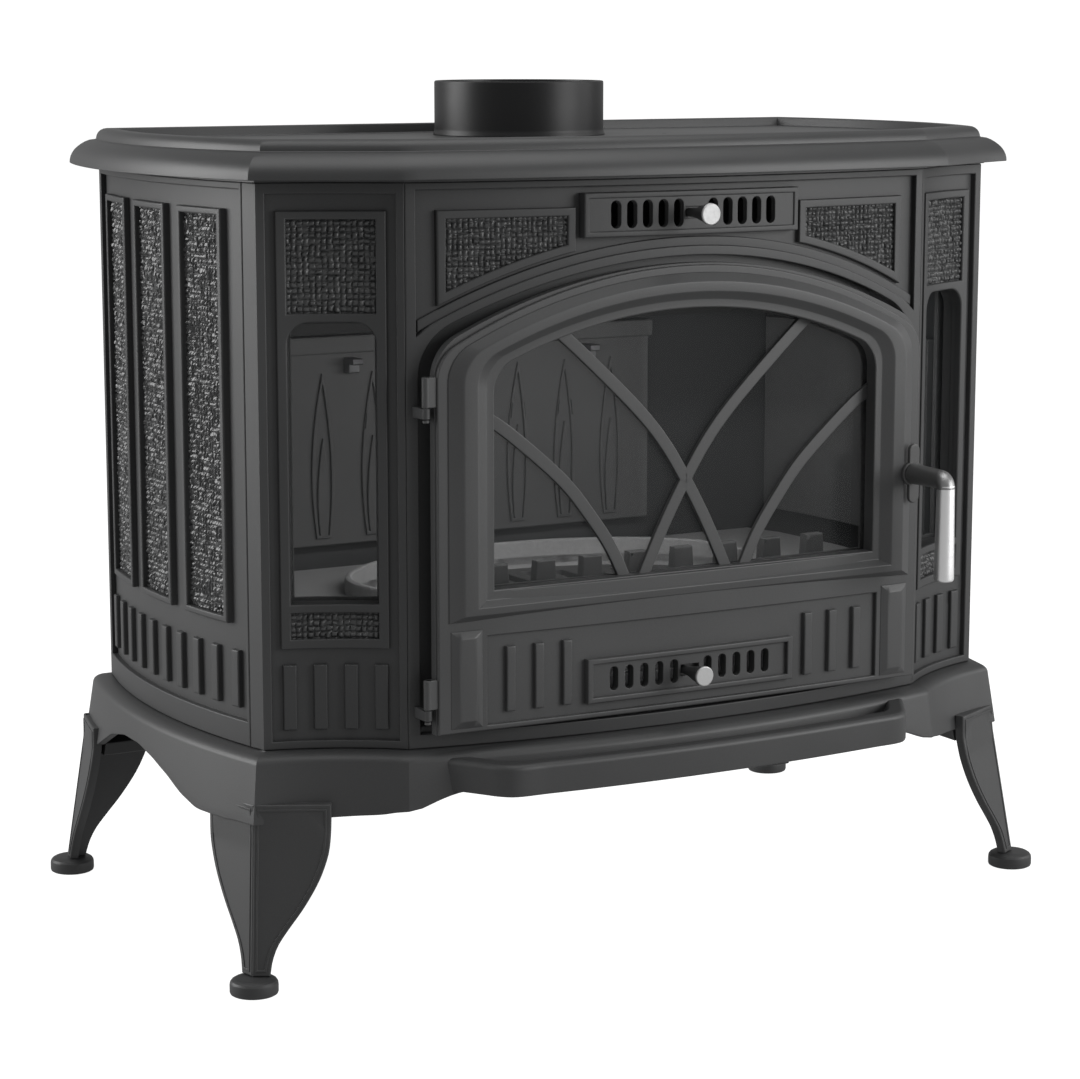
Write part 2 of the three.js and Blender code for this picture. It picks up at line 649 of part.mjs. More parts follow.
const topPlate = cut(
  unite(cut(plateTop, under), cut(common(seatRing, plateTop), seatHole)),
  sunk,
  post(0, 0, 600, 700, 62, 62, 48),
  post(128, -38, 600, 700, 2.2, 2.2, 10),
);
add("top_plate", cut(topPlate, raise(grown(BODY, 1), 600, BODY_TOP + GAP)), IRON);

const collarProfile = [
  [60, TOP_SUNK + GAP], [COLLAR_OUTER + 1.4, TOP_SUNK + GAP], [COLLAR_OUTER + 0.4, TOP_SUNK + 2.5],
  [COLLAR_OUTER, TOP_SUNK + 5], [COLLAR_OUTER, COLLAR_TOP - 1.2], [COLLAR_OUTER - 1.2, COLLAR_TOP],
  [COLLAR_INNER + 0.8, COLLAR_TOP], [COLLAR_INNER, COLLAR_TOP - 0.8], [COLLAR_INNER, TOP_SUNK + 8],
  [60, TOP_SUNK + 8],
];
const collarTurn = collarProfile.map(([r, z]) => new THREE.Vector2(r, z));
const collar = new THREE.LatheGeometry([...collarTurn, collarTurn[0].clone()], 40).rotateX(Math.PI / 2);
add("flue_collar", solid(collar), IRON);

// ---- Door ----------------------------------------------------------------------------------------
const doorOutline = arched(DOOR_HALF, DOOR_BOTTOM, DOOR_CROWN, 448, 32);
const paneHole = arched(PANE_HALF, PANE_BOTTOM, PANE_CROWN, 420, 28);
const slab = common(
  through(doorFace, doorOutline, 200, 330, paneHole),
  layer(doorFace, -11, 0, -240, 240, 190, 580),
);
const surround = common(
  through(
    doorFace,
    arched(224.2, 291, 561, 452, 34),
    200, 330,
    arched(190, 307, 538.5, 430, 28),
  ),
  layer(doorFace, -1, 6.5, -240, 240, 280, 570),
);
const lowerField = common(
  through(doorFace, rect(-189, 189, 205.5, 278), 200, 330),
  layer(doorFace, -3.5, 20, -200, 200, 200, 285),
);
const lowerParts = [];
for (const way of [-1, 1]) {
  lowerParts.push(rect(way * 207.5 - 14, way * 207.5 + 14, 204.5, 284));
  for (const x of [117, 142.5, 168]) lowerParts.push(rect(way * x - 4, way * x + 4, 214.5, 268));
}
const lowerRelief = lowerParts.map((points) => {
  const height = Math.abs(points[0][0]) > 190 ? 3.5 : 0.5;
  return common(through(doorFace, points, 200, 330), layer(doorFace, -4, height, -230, 230, 200, 290));
});
const ventFrame = common(
  through(doorFace, rect(-99.7, 99.7, 213.2, 250.1), 200, 330, rect(-94, 94, 218, 245.4)),
  layer(doorFace, -4, 2.5, -100, 100, 205, 260),
);
const slidePocket = common(
  through(doorFace, rect(-94, 94, 216.5, 246.7), 200, 330),
  layer(doorFace, -20, -6.5, -95, 95, 205, 260),
);
const doorLugs = [463, 222].map((z) => {
  const tab = box(HINGE[0], -229, HINGE[1] - 4.5, HINGE[1] + 4.5, z, z + 24);
  return cut(unite(post(...HINGE, z, z + 24, 5.5, 5.5, 20), tab), pinHole(z - 5, z + 30, 3.15));
});
const spindleHole = rod(...SPINDLE, -330, -200, 6.4, 6.4, 20);
const door = cut(
  unite(cut(unite(slab, surround), lowerField), ...lowerRelief, ventFrame, ...doorLugs),
  slidePocket,
  ...ventSlots(LOWER_VENT_Z, 7.4, 19.7).map((points) => through(doorFace, points, 200, 330)),
  through(doorFace, knobPass(LOWER_VENT_Z), 200, 330),
  spindleHole,
  pinHole(222 - 5, 222 + 24.5, 3.15),
  pinHole(463 - 5, 463 + 24.5, 3.15),
);
add("door", door, IRON);
add("lower_air_slide", airSlide(doorFace, LOWER_VENT_Z, 84, 25, -9.6, -7.2, -292, -321.6, 7.4, 19.7), IRON);
add("lower_knob_cap", rod(SLIDE_REST, LOWER_VENT_Z, -323.8, -321.8, 8.4, 8.4, 32), STEEL);
const slideGuard = common(
  through(doorFace, rect(-100, 100, 210, 252), 200, 330, rect(-82, 82, 220, 243)),
  layer(doorFace, -13.6, -11.3, -101, 101, 205, 260),
);
add("lower_slide_guard", slideGuard, DARK);

// ---- Window: tracery, pane, seal and clips ---------------------------------------------------------
function ribbon(points, width) {
  const line = points.map(([x, z]) => new THREE.Vector3(x, z, 0));
  const path = new THREE.CatmullRomCurve3(line, false, "centripetal");
  const spots = path.getPoints(14);
  const left = [];
  const right = [];
  spots.forEach((p, i) => {
    const t = path.getTangent(i / 14);
    left.push([p.x - (t.y * width) / 2, p.y + (t.x * width) / 2]);
    right.push([p.x + (t.y * width) / 2, p.y - (t.x * width) / 2]);
  });
  return [...left, ...right.reverse()];
}
const tall = [[-123, 521], [-94, 495], [-46, 450], [-20, 420], [2, 386], [22, 350], [42, 308]];
const short = [[-188, 453], [-164, 438], [-117, 398], [-90, 366], [-70, 337], [-56, 308]];
const bars = [tall, short].flatMap((line) => [line, line.map(([x, z]) => [-x, z])]);
const traceryRim = through(
  doorFace,
  arched(PANE_HALF + 10, PANE_BOTTOM - 9, PANE_CROWN + 9, 429, 36),
  0, 400,
  arched(PANE_HALF + 2, PANE_BOTTOM - 1, PANE_CROWN + 2, 422, 29),
);
const traceryFlat = unite(traceryRim, ...bars.map((line) => through(doorFace, ribbon(line, 10.5), 0, 400)));
const clipShape = arched(PANE_HALF + 9, PANE_BOTTOM - 8, PANE_CROWN + 8, 428, 35);
const traceryClip = through(doorFace, clipShape, 0, 400);
const tracery = common(common(traceryFlat, traceryClip), layer(doorFace, -14.6, -11.3, -200, 200, 290, 560));
add("window_tracery", tracery, IRON);
const pane = common(
  through(doorFace, arched(PANE_HALF + 7, PANE_BOTTOM - 6, PANE_CROWN + 6, 426, 33), 0, 400),
  layer(doorFace, -18.9, -14.9, -200, 200, 290, 560),
);
add("door_glass", pane, GLASS);
const sealRing = common(
  through(
    doorFace,
    arched(PANE_HALF + 24, PANE_BOTTOM - 23, PANE_CROWN + 23, 442, 48),
    0, 400,
    arched(PANE_HALF + 13, PANE_BOTTOM - 12, PANE_CROWN + 12, 432, 38),
  ),
  layer(doorFace, -19, -11.3, -230, 230, 280, 560),
);
add("door_seal", sealRing, ROPE);
const paneHolder = common(
  through(
    doorFace,
    arched(PANE_HALF + 12, PANE_BOTTOM - 11, PANE_CROWN + 11, 431, 37),
    0, 400,
    arched(PANE_HALF + 1, PANE_BOTTOM, PANE_CROWN - 1, 419, 27),
  ),
  layer(doorFace, -21.6, -19.2, -200, 200, 290, 560),
);
add("glass_holder", paneHolder, DARK);

// ---- Handle and latch ---------------------------------------------------------------------------------
const doorSkin = -doorFace.curve(SPINDLE[0]);
const plateShape = [
  ...arc(SPINDLE[0] + 1, SPINDLE[1] + 20, 5.5, 0, Math.PI, 6),
  ...arc(SPINDLE[0] + 1, SPINDLE[1] - 20, 5.5, Math.PI, 2 * Math.PI, 6),
];
const handlePlate = cut(
  unite(
    through(doorFace, plateShape, -doorSkin + 6.9, -doorSkin + 10),
    rod(...SPINDLE, doorSkin - 10, doorSkin - 7.4, 10.5, 10.5, 24),
  ),
  spindleHole,
);
add("handle_plate", handlePlate, DARK);
const GRIP_Y = doorSkin - 55.5;
const elbow = solid(new THREE.SphereGeometry(7.6, 20, 14).translate(SPINDLE[0], GRIP_Y, SPINDLE[1]));
const handleArm = unite(
  rod(...SPINDLE, GRIP_Y, doorSkin - 10.4, 7.6, 9, 20),
  rod(...SPINDLE, doorSkin - 11, KEEPER_Y + 0.1, 6, 6, 20),
  elbow,
  post(SPINDLE[0], GRIP_Y, SPINDLE[1] - 9, SPINDLE[1], 7.2, 7.6, 20),
  post(SPINDLE[0], GRIP_Y, SPINDLE[1] - 78, SPINDLE[1] - 8, 3, 3, 12),
);
add("handle_arm", handleArm, IRON);
const gripTurn = [[3.4, -86], [6, -86], [7.1, -84.5], [7.1, -70], [6.3, -9.3], [3.4, -9.3], [3.4, -86]].map(
  ([r, z]) => new THREE.Vector2(r, z),
);
const grip = new THREE.LatheGeometry(gripTurn, 28).rotateX(Math.PI / 2);
add("handle_grip", solid(grip.translate(SPINDLE[0], GRIP_Y, SPINDLE[1])), STEEL);
const CAM_Y = KEEPER_Y + 0.4;
const cam = unite(
  rod(...SPINDLE, CAM_Y, CAM_Y + 6, 9, 9, 20),
  box(SPINDLE[0] - 6, SPINDLE[0] + 6, CAM_Y, CAM_Y + 6, SPINDLE[1] - CAM_REACH, SPINDLE[1]),
);
add("latch_cam", cam, ZINC);

// ---- Firebox ------------------------------------------------------------------------------------------
const liningBack = wall(0, 96, 1, 0, () => 0);
const lancet = (u) => {
  const half = 11;
  const right = [
    [half * 0.62, 300], [half * 0.95, 340], [half, 370], [half * 0.75, 410], [half * 0.35, 435], [0, 447],
  ];
  return [...right, ...right.slice(0, -1).reverse().map(([a, z]) => [-a, z])].map(([a, z]) => [u + a, z]);
};
const lancets = [-3, -2, -1, 0, 1, 2, 3].map((i) => through(liningBack, lancet(i * 50.5), -0.5, 2));
const backLining = unite(box(-194, 194, 96, 104, 289, 466), box(-194, 194, 88, 104, 465, 481), ...lancets);
add("lining_back", backLining, DARK);
const liningSide = layer(side, -34, -27, -128, 134, 289, 478, 12);
addPair("lining_side", liningSide, DARK);
const hook = unite(box(119, 129, 84, 95.7, 447, 461), box(119, 129, 76, 84.5, 455, 461));
addPair("baffle_hook", hook, ZINC);
const baffleShape = [[86, 484], [-118, 556], [-118, 562], [86, 490]];
const baffle = solid(
  new THREE.ExtrudeGeometry(outline(baffleShape), { depth: 560, bevelEnabled: false })
    .rotateY(Math.PI / 2)
    .rotateX(Math.PI / 2)
    .translate(-280, 0, 0),
);
add("baffle", baffle, DARK);

// The hearth: a shelf on short walls with an oval well that carries the grate.
const WELL = [190, 118];
const WELL_Y = -62;
const circle = arc(0, 0, 1, 0, 2 * Math.PI * (1 - 1 / 30), 29);
const oval = (rx, ry) => circle.map(([x, y]) => [x * rx, WELL_Y + y * ry]);
const shelfEdge = [
  [-300, -200], [300, -200], [322, -120], [326, -40], [318, 50], [305, 88], [-305, 88], [-318, 50],
  [-326, -40], [-322, -120],
];
const hearthLegs = [[-290, -186], [290, -186], [-290, 70], [290, 70]];
const hearth = unite(
  raise(shelfEdge, 262, 270, oval(...WELL)),
  raise(oval(WELL[0] + 7, WELL[1] + 7), 248, 284, oval(...WELL)),
  raise(oval(WELL[0] + 5, WELL[1] + 5), 240, 248.5, oval(WELL[0] - 14, WELL[1] - 14)),
  ...hearthLegs.map(([x, y]) => box(x - 8, x + 8, y - 8, y + 8, FLOOR_TOP + GAP, 262.5)),
);
add("hearth_ring", hearth, DARK);
const grateSlots = [];
for (let i = -6; i <= 6; i++) {
  const reach = 102 * Math.sqrt(1 - ((Math.abs(i) * 27 + 7) / 176) ** 2);
  grateSlots.push(box(i * 27 - 7, i * 27 + 7, WELL_Y - reach, WELL_Y + reach, 240, 270));
}
add("grate", cut(raise(oval(WELL[0] - 1.5, WELL[1] - 1.5), 249, 259), ...grateSlots), DARK);
const teeth = [];
const guardFace = wall(0, -205, 1, 0, () => 0);
for (let i = -4; i <= 4; i++) {
  const x = i * 45;
  teeth.push(through(guardFace, [[x - 12, 279], [x + 12, 279], [x + 9, 318], [x - 9, 318]], -5, 5));
}
const guardBar = through(guardFace, rect(-198, 198, 270.3, 280), -6, 6);
add("log_guard", unite(guardBar, ...teeth), DARK);

const panBody = cut(
  box(-140, 140, -205, 55, FLOOR_TOP + GAP, 226),
  box(-137.5, 137.5, -202.5, 52.5, FLOOR_TOP + 3, 240),
);
const panGrip = cut(box(-34, 34, -219, -204.5, 206, 216), box(-28, 28, -213.5, -205, 200, 220));
add("ash_pan", unite(panBody, panGrip), ZINC);

// A lug under the ash lip.
const lug = cut(box(72, 106, -284, -264, 136, FLOOR_UNDER - GAP), box(84, 91, -290, -260, 130, 142));
add("lip_bracket", lug, IRON);

// ---- Put the origin under the middle of the stove ---------------------------------------------------------
const bounds = new THREE.Box3().setFromObject(stove);
const middle = bounds.getCenter(new THREE.Vector3());
for (const mesh of stove.children) mesh.geometry.translate(-middle.x, -middle.y, -bounds.min.z);

export default stove;
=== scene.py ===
# %% [markdown]
# # A cast-iron wood stove, finished in Blender
#
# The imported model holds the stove's sizes, its joints and what collides. This notebook builds what
# is seen: every casting with its rounded edges, the woven and hammered relief in its framed
# panels, and the finishes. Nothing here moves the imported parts: each new piece is made in the same
# frame and rides on the same body.

# %% Load the frame
import math

import bpy
import numpy as np
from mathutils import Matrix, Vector
from mathutils.geometry import delaunay_2d_cdt


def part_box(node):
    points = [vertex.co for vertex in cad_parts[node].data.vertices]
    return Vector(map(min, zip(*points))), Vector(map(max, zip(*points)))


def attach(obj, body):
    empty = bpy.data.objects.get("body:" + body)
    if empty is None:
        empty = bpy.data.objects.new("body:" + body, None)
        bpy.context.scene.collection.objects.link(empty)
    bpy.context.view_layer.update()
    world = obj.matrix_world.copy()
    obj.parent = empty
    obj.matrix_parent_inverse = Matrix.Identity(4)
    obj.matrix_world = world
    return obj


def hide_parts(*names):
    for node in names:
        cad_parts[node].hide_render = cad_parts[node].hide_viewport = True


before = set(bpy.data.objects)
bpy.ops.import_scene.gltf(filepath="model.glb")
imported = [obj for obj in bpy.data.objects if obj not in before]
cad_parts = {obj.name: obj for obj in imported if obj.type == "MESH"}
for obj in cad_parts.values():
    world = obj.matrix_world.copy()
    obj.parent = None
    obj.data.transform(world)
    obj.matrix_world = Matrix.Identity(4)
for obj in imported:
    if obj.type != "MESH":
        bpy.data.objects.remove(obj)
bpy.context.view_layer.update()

# %% [markdown]
# ## Measures
#
# A foundry draws a stove round its flue, so the lengths below are millimetres with the flue's axis
# at x = 0, y = 0. The frame says where that axis is, and how high the floor of the base and the
# top of the body stand. Everything is turned into metres in one place, when a piece's mesh is
# made.

# %% Measures taken from the frame
MM = 0.001


def middle(node):
    low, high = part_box(node)
    return (low + high) / 2


FLUE_Y = middle("flue_collar").y / MM
FLOOR_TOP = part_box("base_casting")[1].z / MM
BODY_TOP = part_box("front_frame")[1].z / MM
COLLAR_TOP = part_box("flue_collar")[1].z / MM
DOOR_BOTTOM, DOOR_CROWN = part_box("door")[0].z / MM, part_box("door")[1].z / MM
DOOR_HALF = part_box("door")[1].x / MM
SPINDLE = (middle("handle_grip").x / MM, 380.0)
print(f"flue axis at y = {FLUE_Y:.1f} mm, body from {FLOOR_TOP:.1f} to {BODY_TOP:.1f} mm")

WALL = 10.0  # thickness of the body panels
FRONT_HALF = 247.6
FRONT_REACH, FRONT_BOW = 293, 2260  # how far out the front stands, and how slowly it falls away
DOOR_REACH, DOOR_BOW = 295.5, 7670
HINGE = (-239.5, -284.0)
HINGE_RADIUS = 3.3
HINGE_FEET = {"upper": 454, "lower": 213}
POST_Y = -213.0  # corner between a diagonal panel and a side
SIDE_CENTRE_Y, SIDE_RADIUS, SIDE_REACH = -46.0, 670.0, 371.1
SEAM_Y = -195.9  # joint between the corner casting and the side panel
BACK_Y = 121.0
SLOT_FIRST, SLOT_PITCH = 16.3, 14.3
UPPER_Z, LOWER_Z = 608.5, 231.6  # middles of the two vents
UPPER_SLOT, LOWER_SLOT = (8.8, 22), (7.4, 19.7)
KNOB_X = -5.0
TOP_FOOT, TOP_SUNK = 639.4, 661.9  # underside of the top plate, and its sunk middle

# %% [markdown]
# ## Walls
#
# The front of the body bows out, the diagonal panels are hollow, and the sides are long arcs.
# Drawing on a bent wall is easier when it is laid flat, so each wall is a small function: u runs
# along it to the right as seen from outside, z is up, and w is how far a point stands out of it.


# %% Walls of the body
def wall(origin, along, curve):
    a, b = np.array(along, float) / math.hypot(*along)

    def place(u, z, w):
        out = curve(u) + w
        return np.stack([origin[0] + a * u + b * out, origin[1] + b * u - a * out, z + 0 * u], 1)

    return place


def side_curve(u):
    return np.sqrt(SIDE_RADIUS**2 - u * u) + SIDE_REACH - SIDE_RADIUS


def flat(u, z, w):
    """A drawing laid on the ground: u is x, z is y, and w is the height."""
    return np.stack([u, z, w + 0 * u], 1)


POST = np.array([float(side_curve(POST_Y - SIDE_CENTRE_Y)), POST_Y])
FRONT_END = np.array([FRONT_HALF, -265.8])
DIAGONAL = POST - FRONT_END
DIAGONAL_HALF = float(np.linalg.norm(DIAGONAL)) / 2
front = wall((0, 0), (1, 0), lambda u: FRONT_REACH - u * u / FRONT_BOW)
door_face = wall((0, 0), (1, 0), lambda u: DOOR_REACH - u * u / DOOR_BOW)
side = wall((0, SIDE_CENTRE_Y), (0, 1), side_curve)
back = wall((0, BACK_Y), (-1, 0), lambda u: 0 * u)
upright = wall((0, 0), (1, 0), lambda u: 0 * u)
diagonal = wall((POST + FRONT_END) / 2, DIAGONAL, lambda u: -7 * (1 - (u / DIAGONAL_HALF) ** 2))


def corner(u, z, w):
    """The diagonal wall up to the post, and the side wall beyond it."""
    beyond = side(u - DIAGONAL_HALF + POST_Y - SIDE_CENTRE_Y, z, w)
    return np.where((u <= DIAGONAL_HALF)[:, None], diagonal(u, z, w), beyond)


print(f"each diagonal panel is {2 * DIAGONAL_HALF:.1f} mm wide")

# %% [markdown]
# ## Outlines
#
# Rectangles, slots with round ends, and the flat-topped arch that the door, its window and its
# opening share: one large crown arc and a tighter shoulder at each side.


# %% Outlines
def rect(u0, u1, z0, z1):
    return [(u0, z0), (u1, z0), (u1, z1), (u0, z1)]


def arc(cu, cz, radius, start, end, steps):
    turn = np.linspace(start, end, steps + 1)
    return [(cu + radius * math.cos(t), cz + radius * math.sin(t)) for t in turn]


def oval(x, y, rx, ry, steps=72):
    turn = np.arange(steps) * 2 * math.pi / steps
    return [(x + rx * math.cos(t), y + ry * math.sin(t)) for t in turn]


def circle(x, y, radius, steps=72):
    return oval(x, y, radius, radius, steps)


def arched(half, bottom, crown, radius, shoulder):
    centre = crown - radius
    rise = centre + math.sqrt((radius - shoulder) ** 2 - (half - shoulder) ** 2)
    lean = math.atan2(half - shoulder, rise - centre)
    right = arc(half - shoulder, rise, shoulder, 0, math.pi / 2 - lean, 10)
    top = arc(0, centre, radius, math.pi / 2 - lean, math.pi / 2 + lean, 40)
    left = arc(shoulder - half, rise, shoulder, math.pi / 2 + lean, math.pi, 10)
    return [(-half, bottom), (half, bottom), *right, *top[1:-1], *left]


def slot(u, z, width, height):
    r = width / 2
    top = arc(u, z + height / 2 - r, r, 0, math.pi, 10)
    foot = arc(u, z - height / 2 + r, r, math.pi, 2 * math.pi, 10)
    return [*top, *foot]


def vent_slots(z, width, height):
    steps = [SLOT_FIRST + SLOT_PITCH * i for i in range(5)]
    return [slot(way * step, z, width, height) for way in (-1, 1) for step in steps]


def knob_slot(z):
    """The longer slot in which a knob's neck travels."""
    return rect(KNOB_X - 4.8, KNOB_X + 12.6, z - 4.7, z + 4.7)


def spline(points, steps=8):
    """A smooth line through the points."""
    before = 2 * np.array(points[0]) - points[1]
    after = 2 * np.array(points[-1]) - points[-2]
    p = np.array([before, *points, after], float)
    t = np.linspace(0, 1, steps, endpoint=False)[:, None]
    line = []
    for a, b, c, d in zip(p, p[1:], p[2:], p[3:]):
        square, cube = 2 * a - 5 * b + 4 * c - d, 3 * b - a - 3 * c + d
        line.append(0.5 * (2 * b + (c - a) * t + square * t**2 + cube * t**3))
    return [tuple(q) for q in np.concatenate([*line, p[-2:-1]])]


def left_of(curve):
    """The unit way to the left of a line, at each of its points."""
    ahead = np.gradient(curve, axis=0)
    return np.stack([-ahead[:, 1], ahead[:, 0]], 1) / np.linalg.norm(ahead, axis=1, keepdims=True)


# %% [markdown]
# ## Plates with rounded edges
#
# Almost every part of the stove is a flat pattern with a thickness: a frame with holes, a bar, a
# rim. A beginner would extrude the outline and add a Bevel modifier, but bevels fail on the many
# short sides of an arch. Instead each plate is built from rings: the outline is moved inwards a
# little as it comes up to the front face, which makes the rounded edge, and a Delaunay fill closes
# the front and the back. Points inside the fill let it bend with its wall. The same function makes
# mouldings, because a moulding is only a longer list of rings.


# %% Shapes, outlines moved sideways, and filled faces
class Shape:
    """Points in millimetres, outward faces, and each point's place on its sheet and freedom."""

    def __init__(self, points, faces, marks=None):
        self.points = np.asarray(points, float)
        self.faces = [tuple(f) for f in faces]
        self.marks = np.zeros((len(self.points), 3)) if marks is None else marks

    def mirrored(self):
        flipped = [tuple(reversed(f)) for f in self.faces]
        return Shape(self.points * (-1, 1, 1), flipped, self.marks)

    def moved(self, change):
        return Shape(change(self.points), self.faces, self.marks)


def joined(shapes):
    """Several shapes as one."""
    faces, start = [], 0
    for s in shapes:
        faces += [tuple(start + i for i in f) for f in s.faces]
        start += len(s.points)
    points, marks = (np.concatenate(rows) for rows in zip(*[(s.points, s.marks) for s in shapes]))
    return Shape(points, faces, marks)


def strip(a, b, n):
    """Faces between two rings of n points, the first ring starting at a and the second at b."""
    return [(a + i, a + (i + 1) % n, b + (i + 1) % n, b + i) for i in range(n)]


def divided(points, across, up, anticlockwise=True):
    """The outline as an array, turned the way asked, with no side longer than (across, up)."""
    p = np.array(points, float)
    q = np.roll(p, -1, 0)
    if (np.sum(p[:, 0] * q[:, 1] - q[:, 0] * p[:, 1]) > 0) != anticlockwise:
        p = p[::-1]
        q = np.roll(p, -1, 0)
    line = []
    for a, b in zip(p, q):
        n = max(1, math.ceil(max(abs(b[0] - a[0]) / across, abs(b[1] - a[1]) / up) - 1e-6))
        line += [a + (b - a) * k / n for k in range(n)]
    return np.array(line)


def inset(loop, d):
    """The loop moved d to its left, which is into the material, with mitred corners."""
    ahead = np.roll(loop, -1, 0) - loop
    left = np.stack([-ahead[:, 1], ahead[:, 0]], 1)
    left /= np.linalg.norm(left, axis=1, keepdims=True)
    both = left + np.roll(left, 1, 0)
    both *= 2 / np.maximum((both**2).sum(1, keepdims=True), 0.5)
    return loop + both * np.reshape(d, (-1, 1))


def within(loops, points):
    """Whether each point is inside the first loop and outside the others."""
    inside = np.zeros(len(points), bool)
    x, y = points[:, 0], points[:, 1]
    for loop in loops:
        for (ax, ay), (bx, by) in zip(loop, np.roll(loop, -1, 0)):
            if ay != by:
                inside ^= ((ay > y) != (by > y)) & (x < (bx - ax) * (y - ay) / (by - ay) + ax)
    return inside


def filled(loops, grid, crease=None):
    """Inner points, and triangles over the loops' points followed by the inner points."""
    rim = np.concatenate(loops)
    edges, first = [], 0
    for loop in loops:
        edges += [(first + i, first + (i + 1) % len(loop)) for i in range(len(loop))]
        first += len(loop)
    inner = np.zeros((0, 2))
    if grid:
        low, high = rim.min(0), rim.max(0)
        across = np.arange(low[0] + grid[0] / 2, high[0], grid[0])
        up = np.arange(low[1] + grid[1] / 2, high[1], grid[1])
        inner = np.array([(u, z) for u in across for z in up]).reshape(-1, 2)
        inner = inner[within(loops, inner)]
        clear = np.ones(len(inner), bool)
        for p in rim:
            clear &= np.hypot(*((inner - p) / grid).T) > 0.6
        if crease is not None:
            clear &= np.abs(inner[:, 0] - crease) > grid[0] * 0.4
        inner = inner[clear]
    if crease is not None:
        ends = sorted(np.flatnonzero(np.abs(rim[:, 0] - crease) < 1e-6), key=lambda i: rim[i, 1])
        line = np.linspace(rim[ends[0], 1], rim[ends[-1], 1], 12)[1:-1]
        start = len(rim) + len(inner)
        inner = np.concatenate([inner, [(crease, z) for z in line]])
        chain = [ends[0], *range(start, start + len(line)), ends[-1]]
        edges += list(zip(chain, chain[1:]))
    points = np.concatenate([rim, inner])
    edges = [tuple(map(int, e)) for e in edges]
    found = delaunay_2d_cdt([Vector(p) for p in points], edges, [], 0, 1e-6)
    if len(found[0]) != len(points):
        raise ValueError(f"an outline crosses itself: {len(points)} points, {len(found[0])} found")
    source = np.array([o[0] for o in found[3]])
    faces = source[np.array(found[2])]
    faces = faces[within(loops, points[faces].mean(1))]
    a, b, c = points[faces[:, 0]], points[faces[:, 1]], points[faces[:, 2]]
    turned = np.cross(b - a, c - a) < 0
    faces[turned] = faces[turned][:, ::-1]
    return inner, faces


def rounded(low, high, edge, both=False, steps=4):
    """A plate's profile, as (inset, w) from the back face to the front."""
    turn = [math.pi / 2 * k / steps for k in range(steps + 1)]
    soft = [(edge * (1 - math.cos(t)), edge * (1 - math.sin(t))) for t in turn]
    face = [(d, high - drop) for d, drop in soft]
    if not both:
        return [(0, low), *face]
    return [(d, low + drop) for d, drop in reversed(soft)] + face


SHEET_GRID = (12, 40)  # spacing of the points that let a sheet bend, along it and up it
RIM_STEP = (8, 8)  # longest sides of an outline that has no such points


def plate(place, rim, profile, holes=(), grid=SHEET_GRID, crease=None):
    """A closed plate. Each hole is an outline, or (outline, profile) for an edge of its own."""
    step = grid or RIM_STEP
    edges = [(divided(rim, *step), profile)]
    for hole in holes:
        own = isinstance(hole, tuple)
        edges.append((divided(hole[0] if own else hole, *step, False), hole[1] if own else profile))
    rings, sheet, faces, start = [], [], [], 0
    for loop, steps in edges:
        n = len(loop)
        value = lambda v: v(loop) if callable(v) else np.full(n, float(v))
        loops = [(inset(loop, value(d)), value(w)) for d, w in steps]
        rings.append((start, n, len(steps), loops))
        sheet += [np.column_stack([p, w]) for p, w in loops]
        for k in range(len(steps) - 1):
            a, b = start + k * n, start + (k + 1) * n
            faces += strip(a, b, n)
        start += n * len(steps)
    inner, fill = filled([loops[-1][0] for *_, loops in rings], grid, crease)
    front_ids = [first + (count - 1) * n + i for first, n, count, _ in rings for i in range(n)]
    back_ids = [first + i for first, n, _, _ in rings for i in range(n)]
    front_ids += range(start, start + len(inner))
    back_ids += range(start + len(inner), start + 2 * len(inner))
    w_front, w_back = rings[0][3][-1][1].mean(), rings[0][3][0][1].mean()
    sheet.append(np.column_stack([inner, np.full(len(inner), w_front)]))
    sheet.append(np.column_stack([inner, np.full(len(inner), w_back)]))
    faces += [tuple(front_ids[i] for i in f) for f in fill]
    faces += [tuple(back_ids[i] for i in reversed(f)) for f in fill]
    sheet = np.concatenate(sheet)
    marks = np.column_stack([sheet[:, :2], np.zeros(len(sheet))])
    marks[start : start + len(inner), 2] = 1
    return Shape(place(sheet[:, 0], sheet[:, 1], sheet[:, 2]), faces, marks)


def block(x0, x1, y0, y1, z0, z1, edge):
    """A bar or slab square to the axes, rounded at its top and foot."""
    return plate(flat, rect(x0, x1, y0, y1), rounded(z0, z1, edge, both=True), grid=None)


def looped(place, rings):
    """A closed rail: rings of (outline, w), as many points in each, the last joined to the first."""
    n = len(rings[0][0])
    sheet = np.concatenate([np.column_stack([p, np.full(n, float(w))]) for p, w in rings])
    faces = []
    for k in range(len(rings)):
        a, b = k * n, (k + 1) % len(rings) * n
        faces += strip(a, b, n)
    return Shape(place(sheet[:, 0], sheet[:, 1], sheet[:, 2]), faces)


def swept(path, radii, sides):
    """A round bar along the path, with closed ends."""
    path = np.array(path, float)
    ahead = np.gradient(path, axis=0)
    ahead /= np.linalg.norm(ahead, axis=1, keepdims=True)
    side_way = np.array([1.0, 0, 0])
    turn = np.linspace(0, 2 * math.pi, sides, endpoint=False)[:, None]
    points = []
    for p, t, r in zip(path, ahead, radii):
        x = side_way - t * (side_way @ t)
        x /= np.linalg.norm(x)
        points.append(p + r * (np.cos(turn) * x + np.sin(turn) * np.cross(t, x)))
    faces = [tuple(reversed(range(sides)))]
    for k in range(len(path) - 1):
        faces += strip(k * sides, (k + 1) * sides, sides)
    faces.append(tuple(range((len(path) - 1) * sides, len(path) * sides)))
    return Shape(np.concatenate(points), faces)


def standing(x, y, steps, sides):
    """A round piece turned about an upright line: steps are (z, radius)."""
    return swept([(x, y, z) for z, _ in steps], [r for _, r in steps], sides)


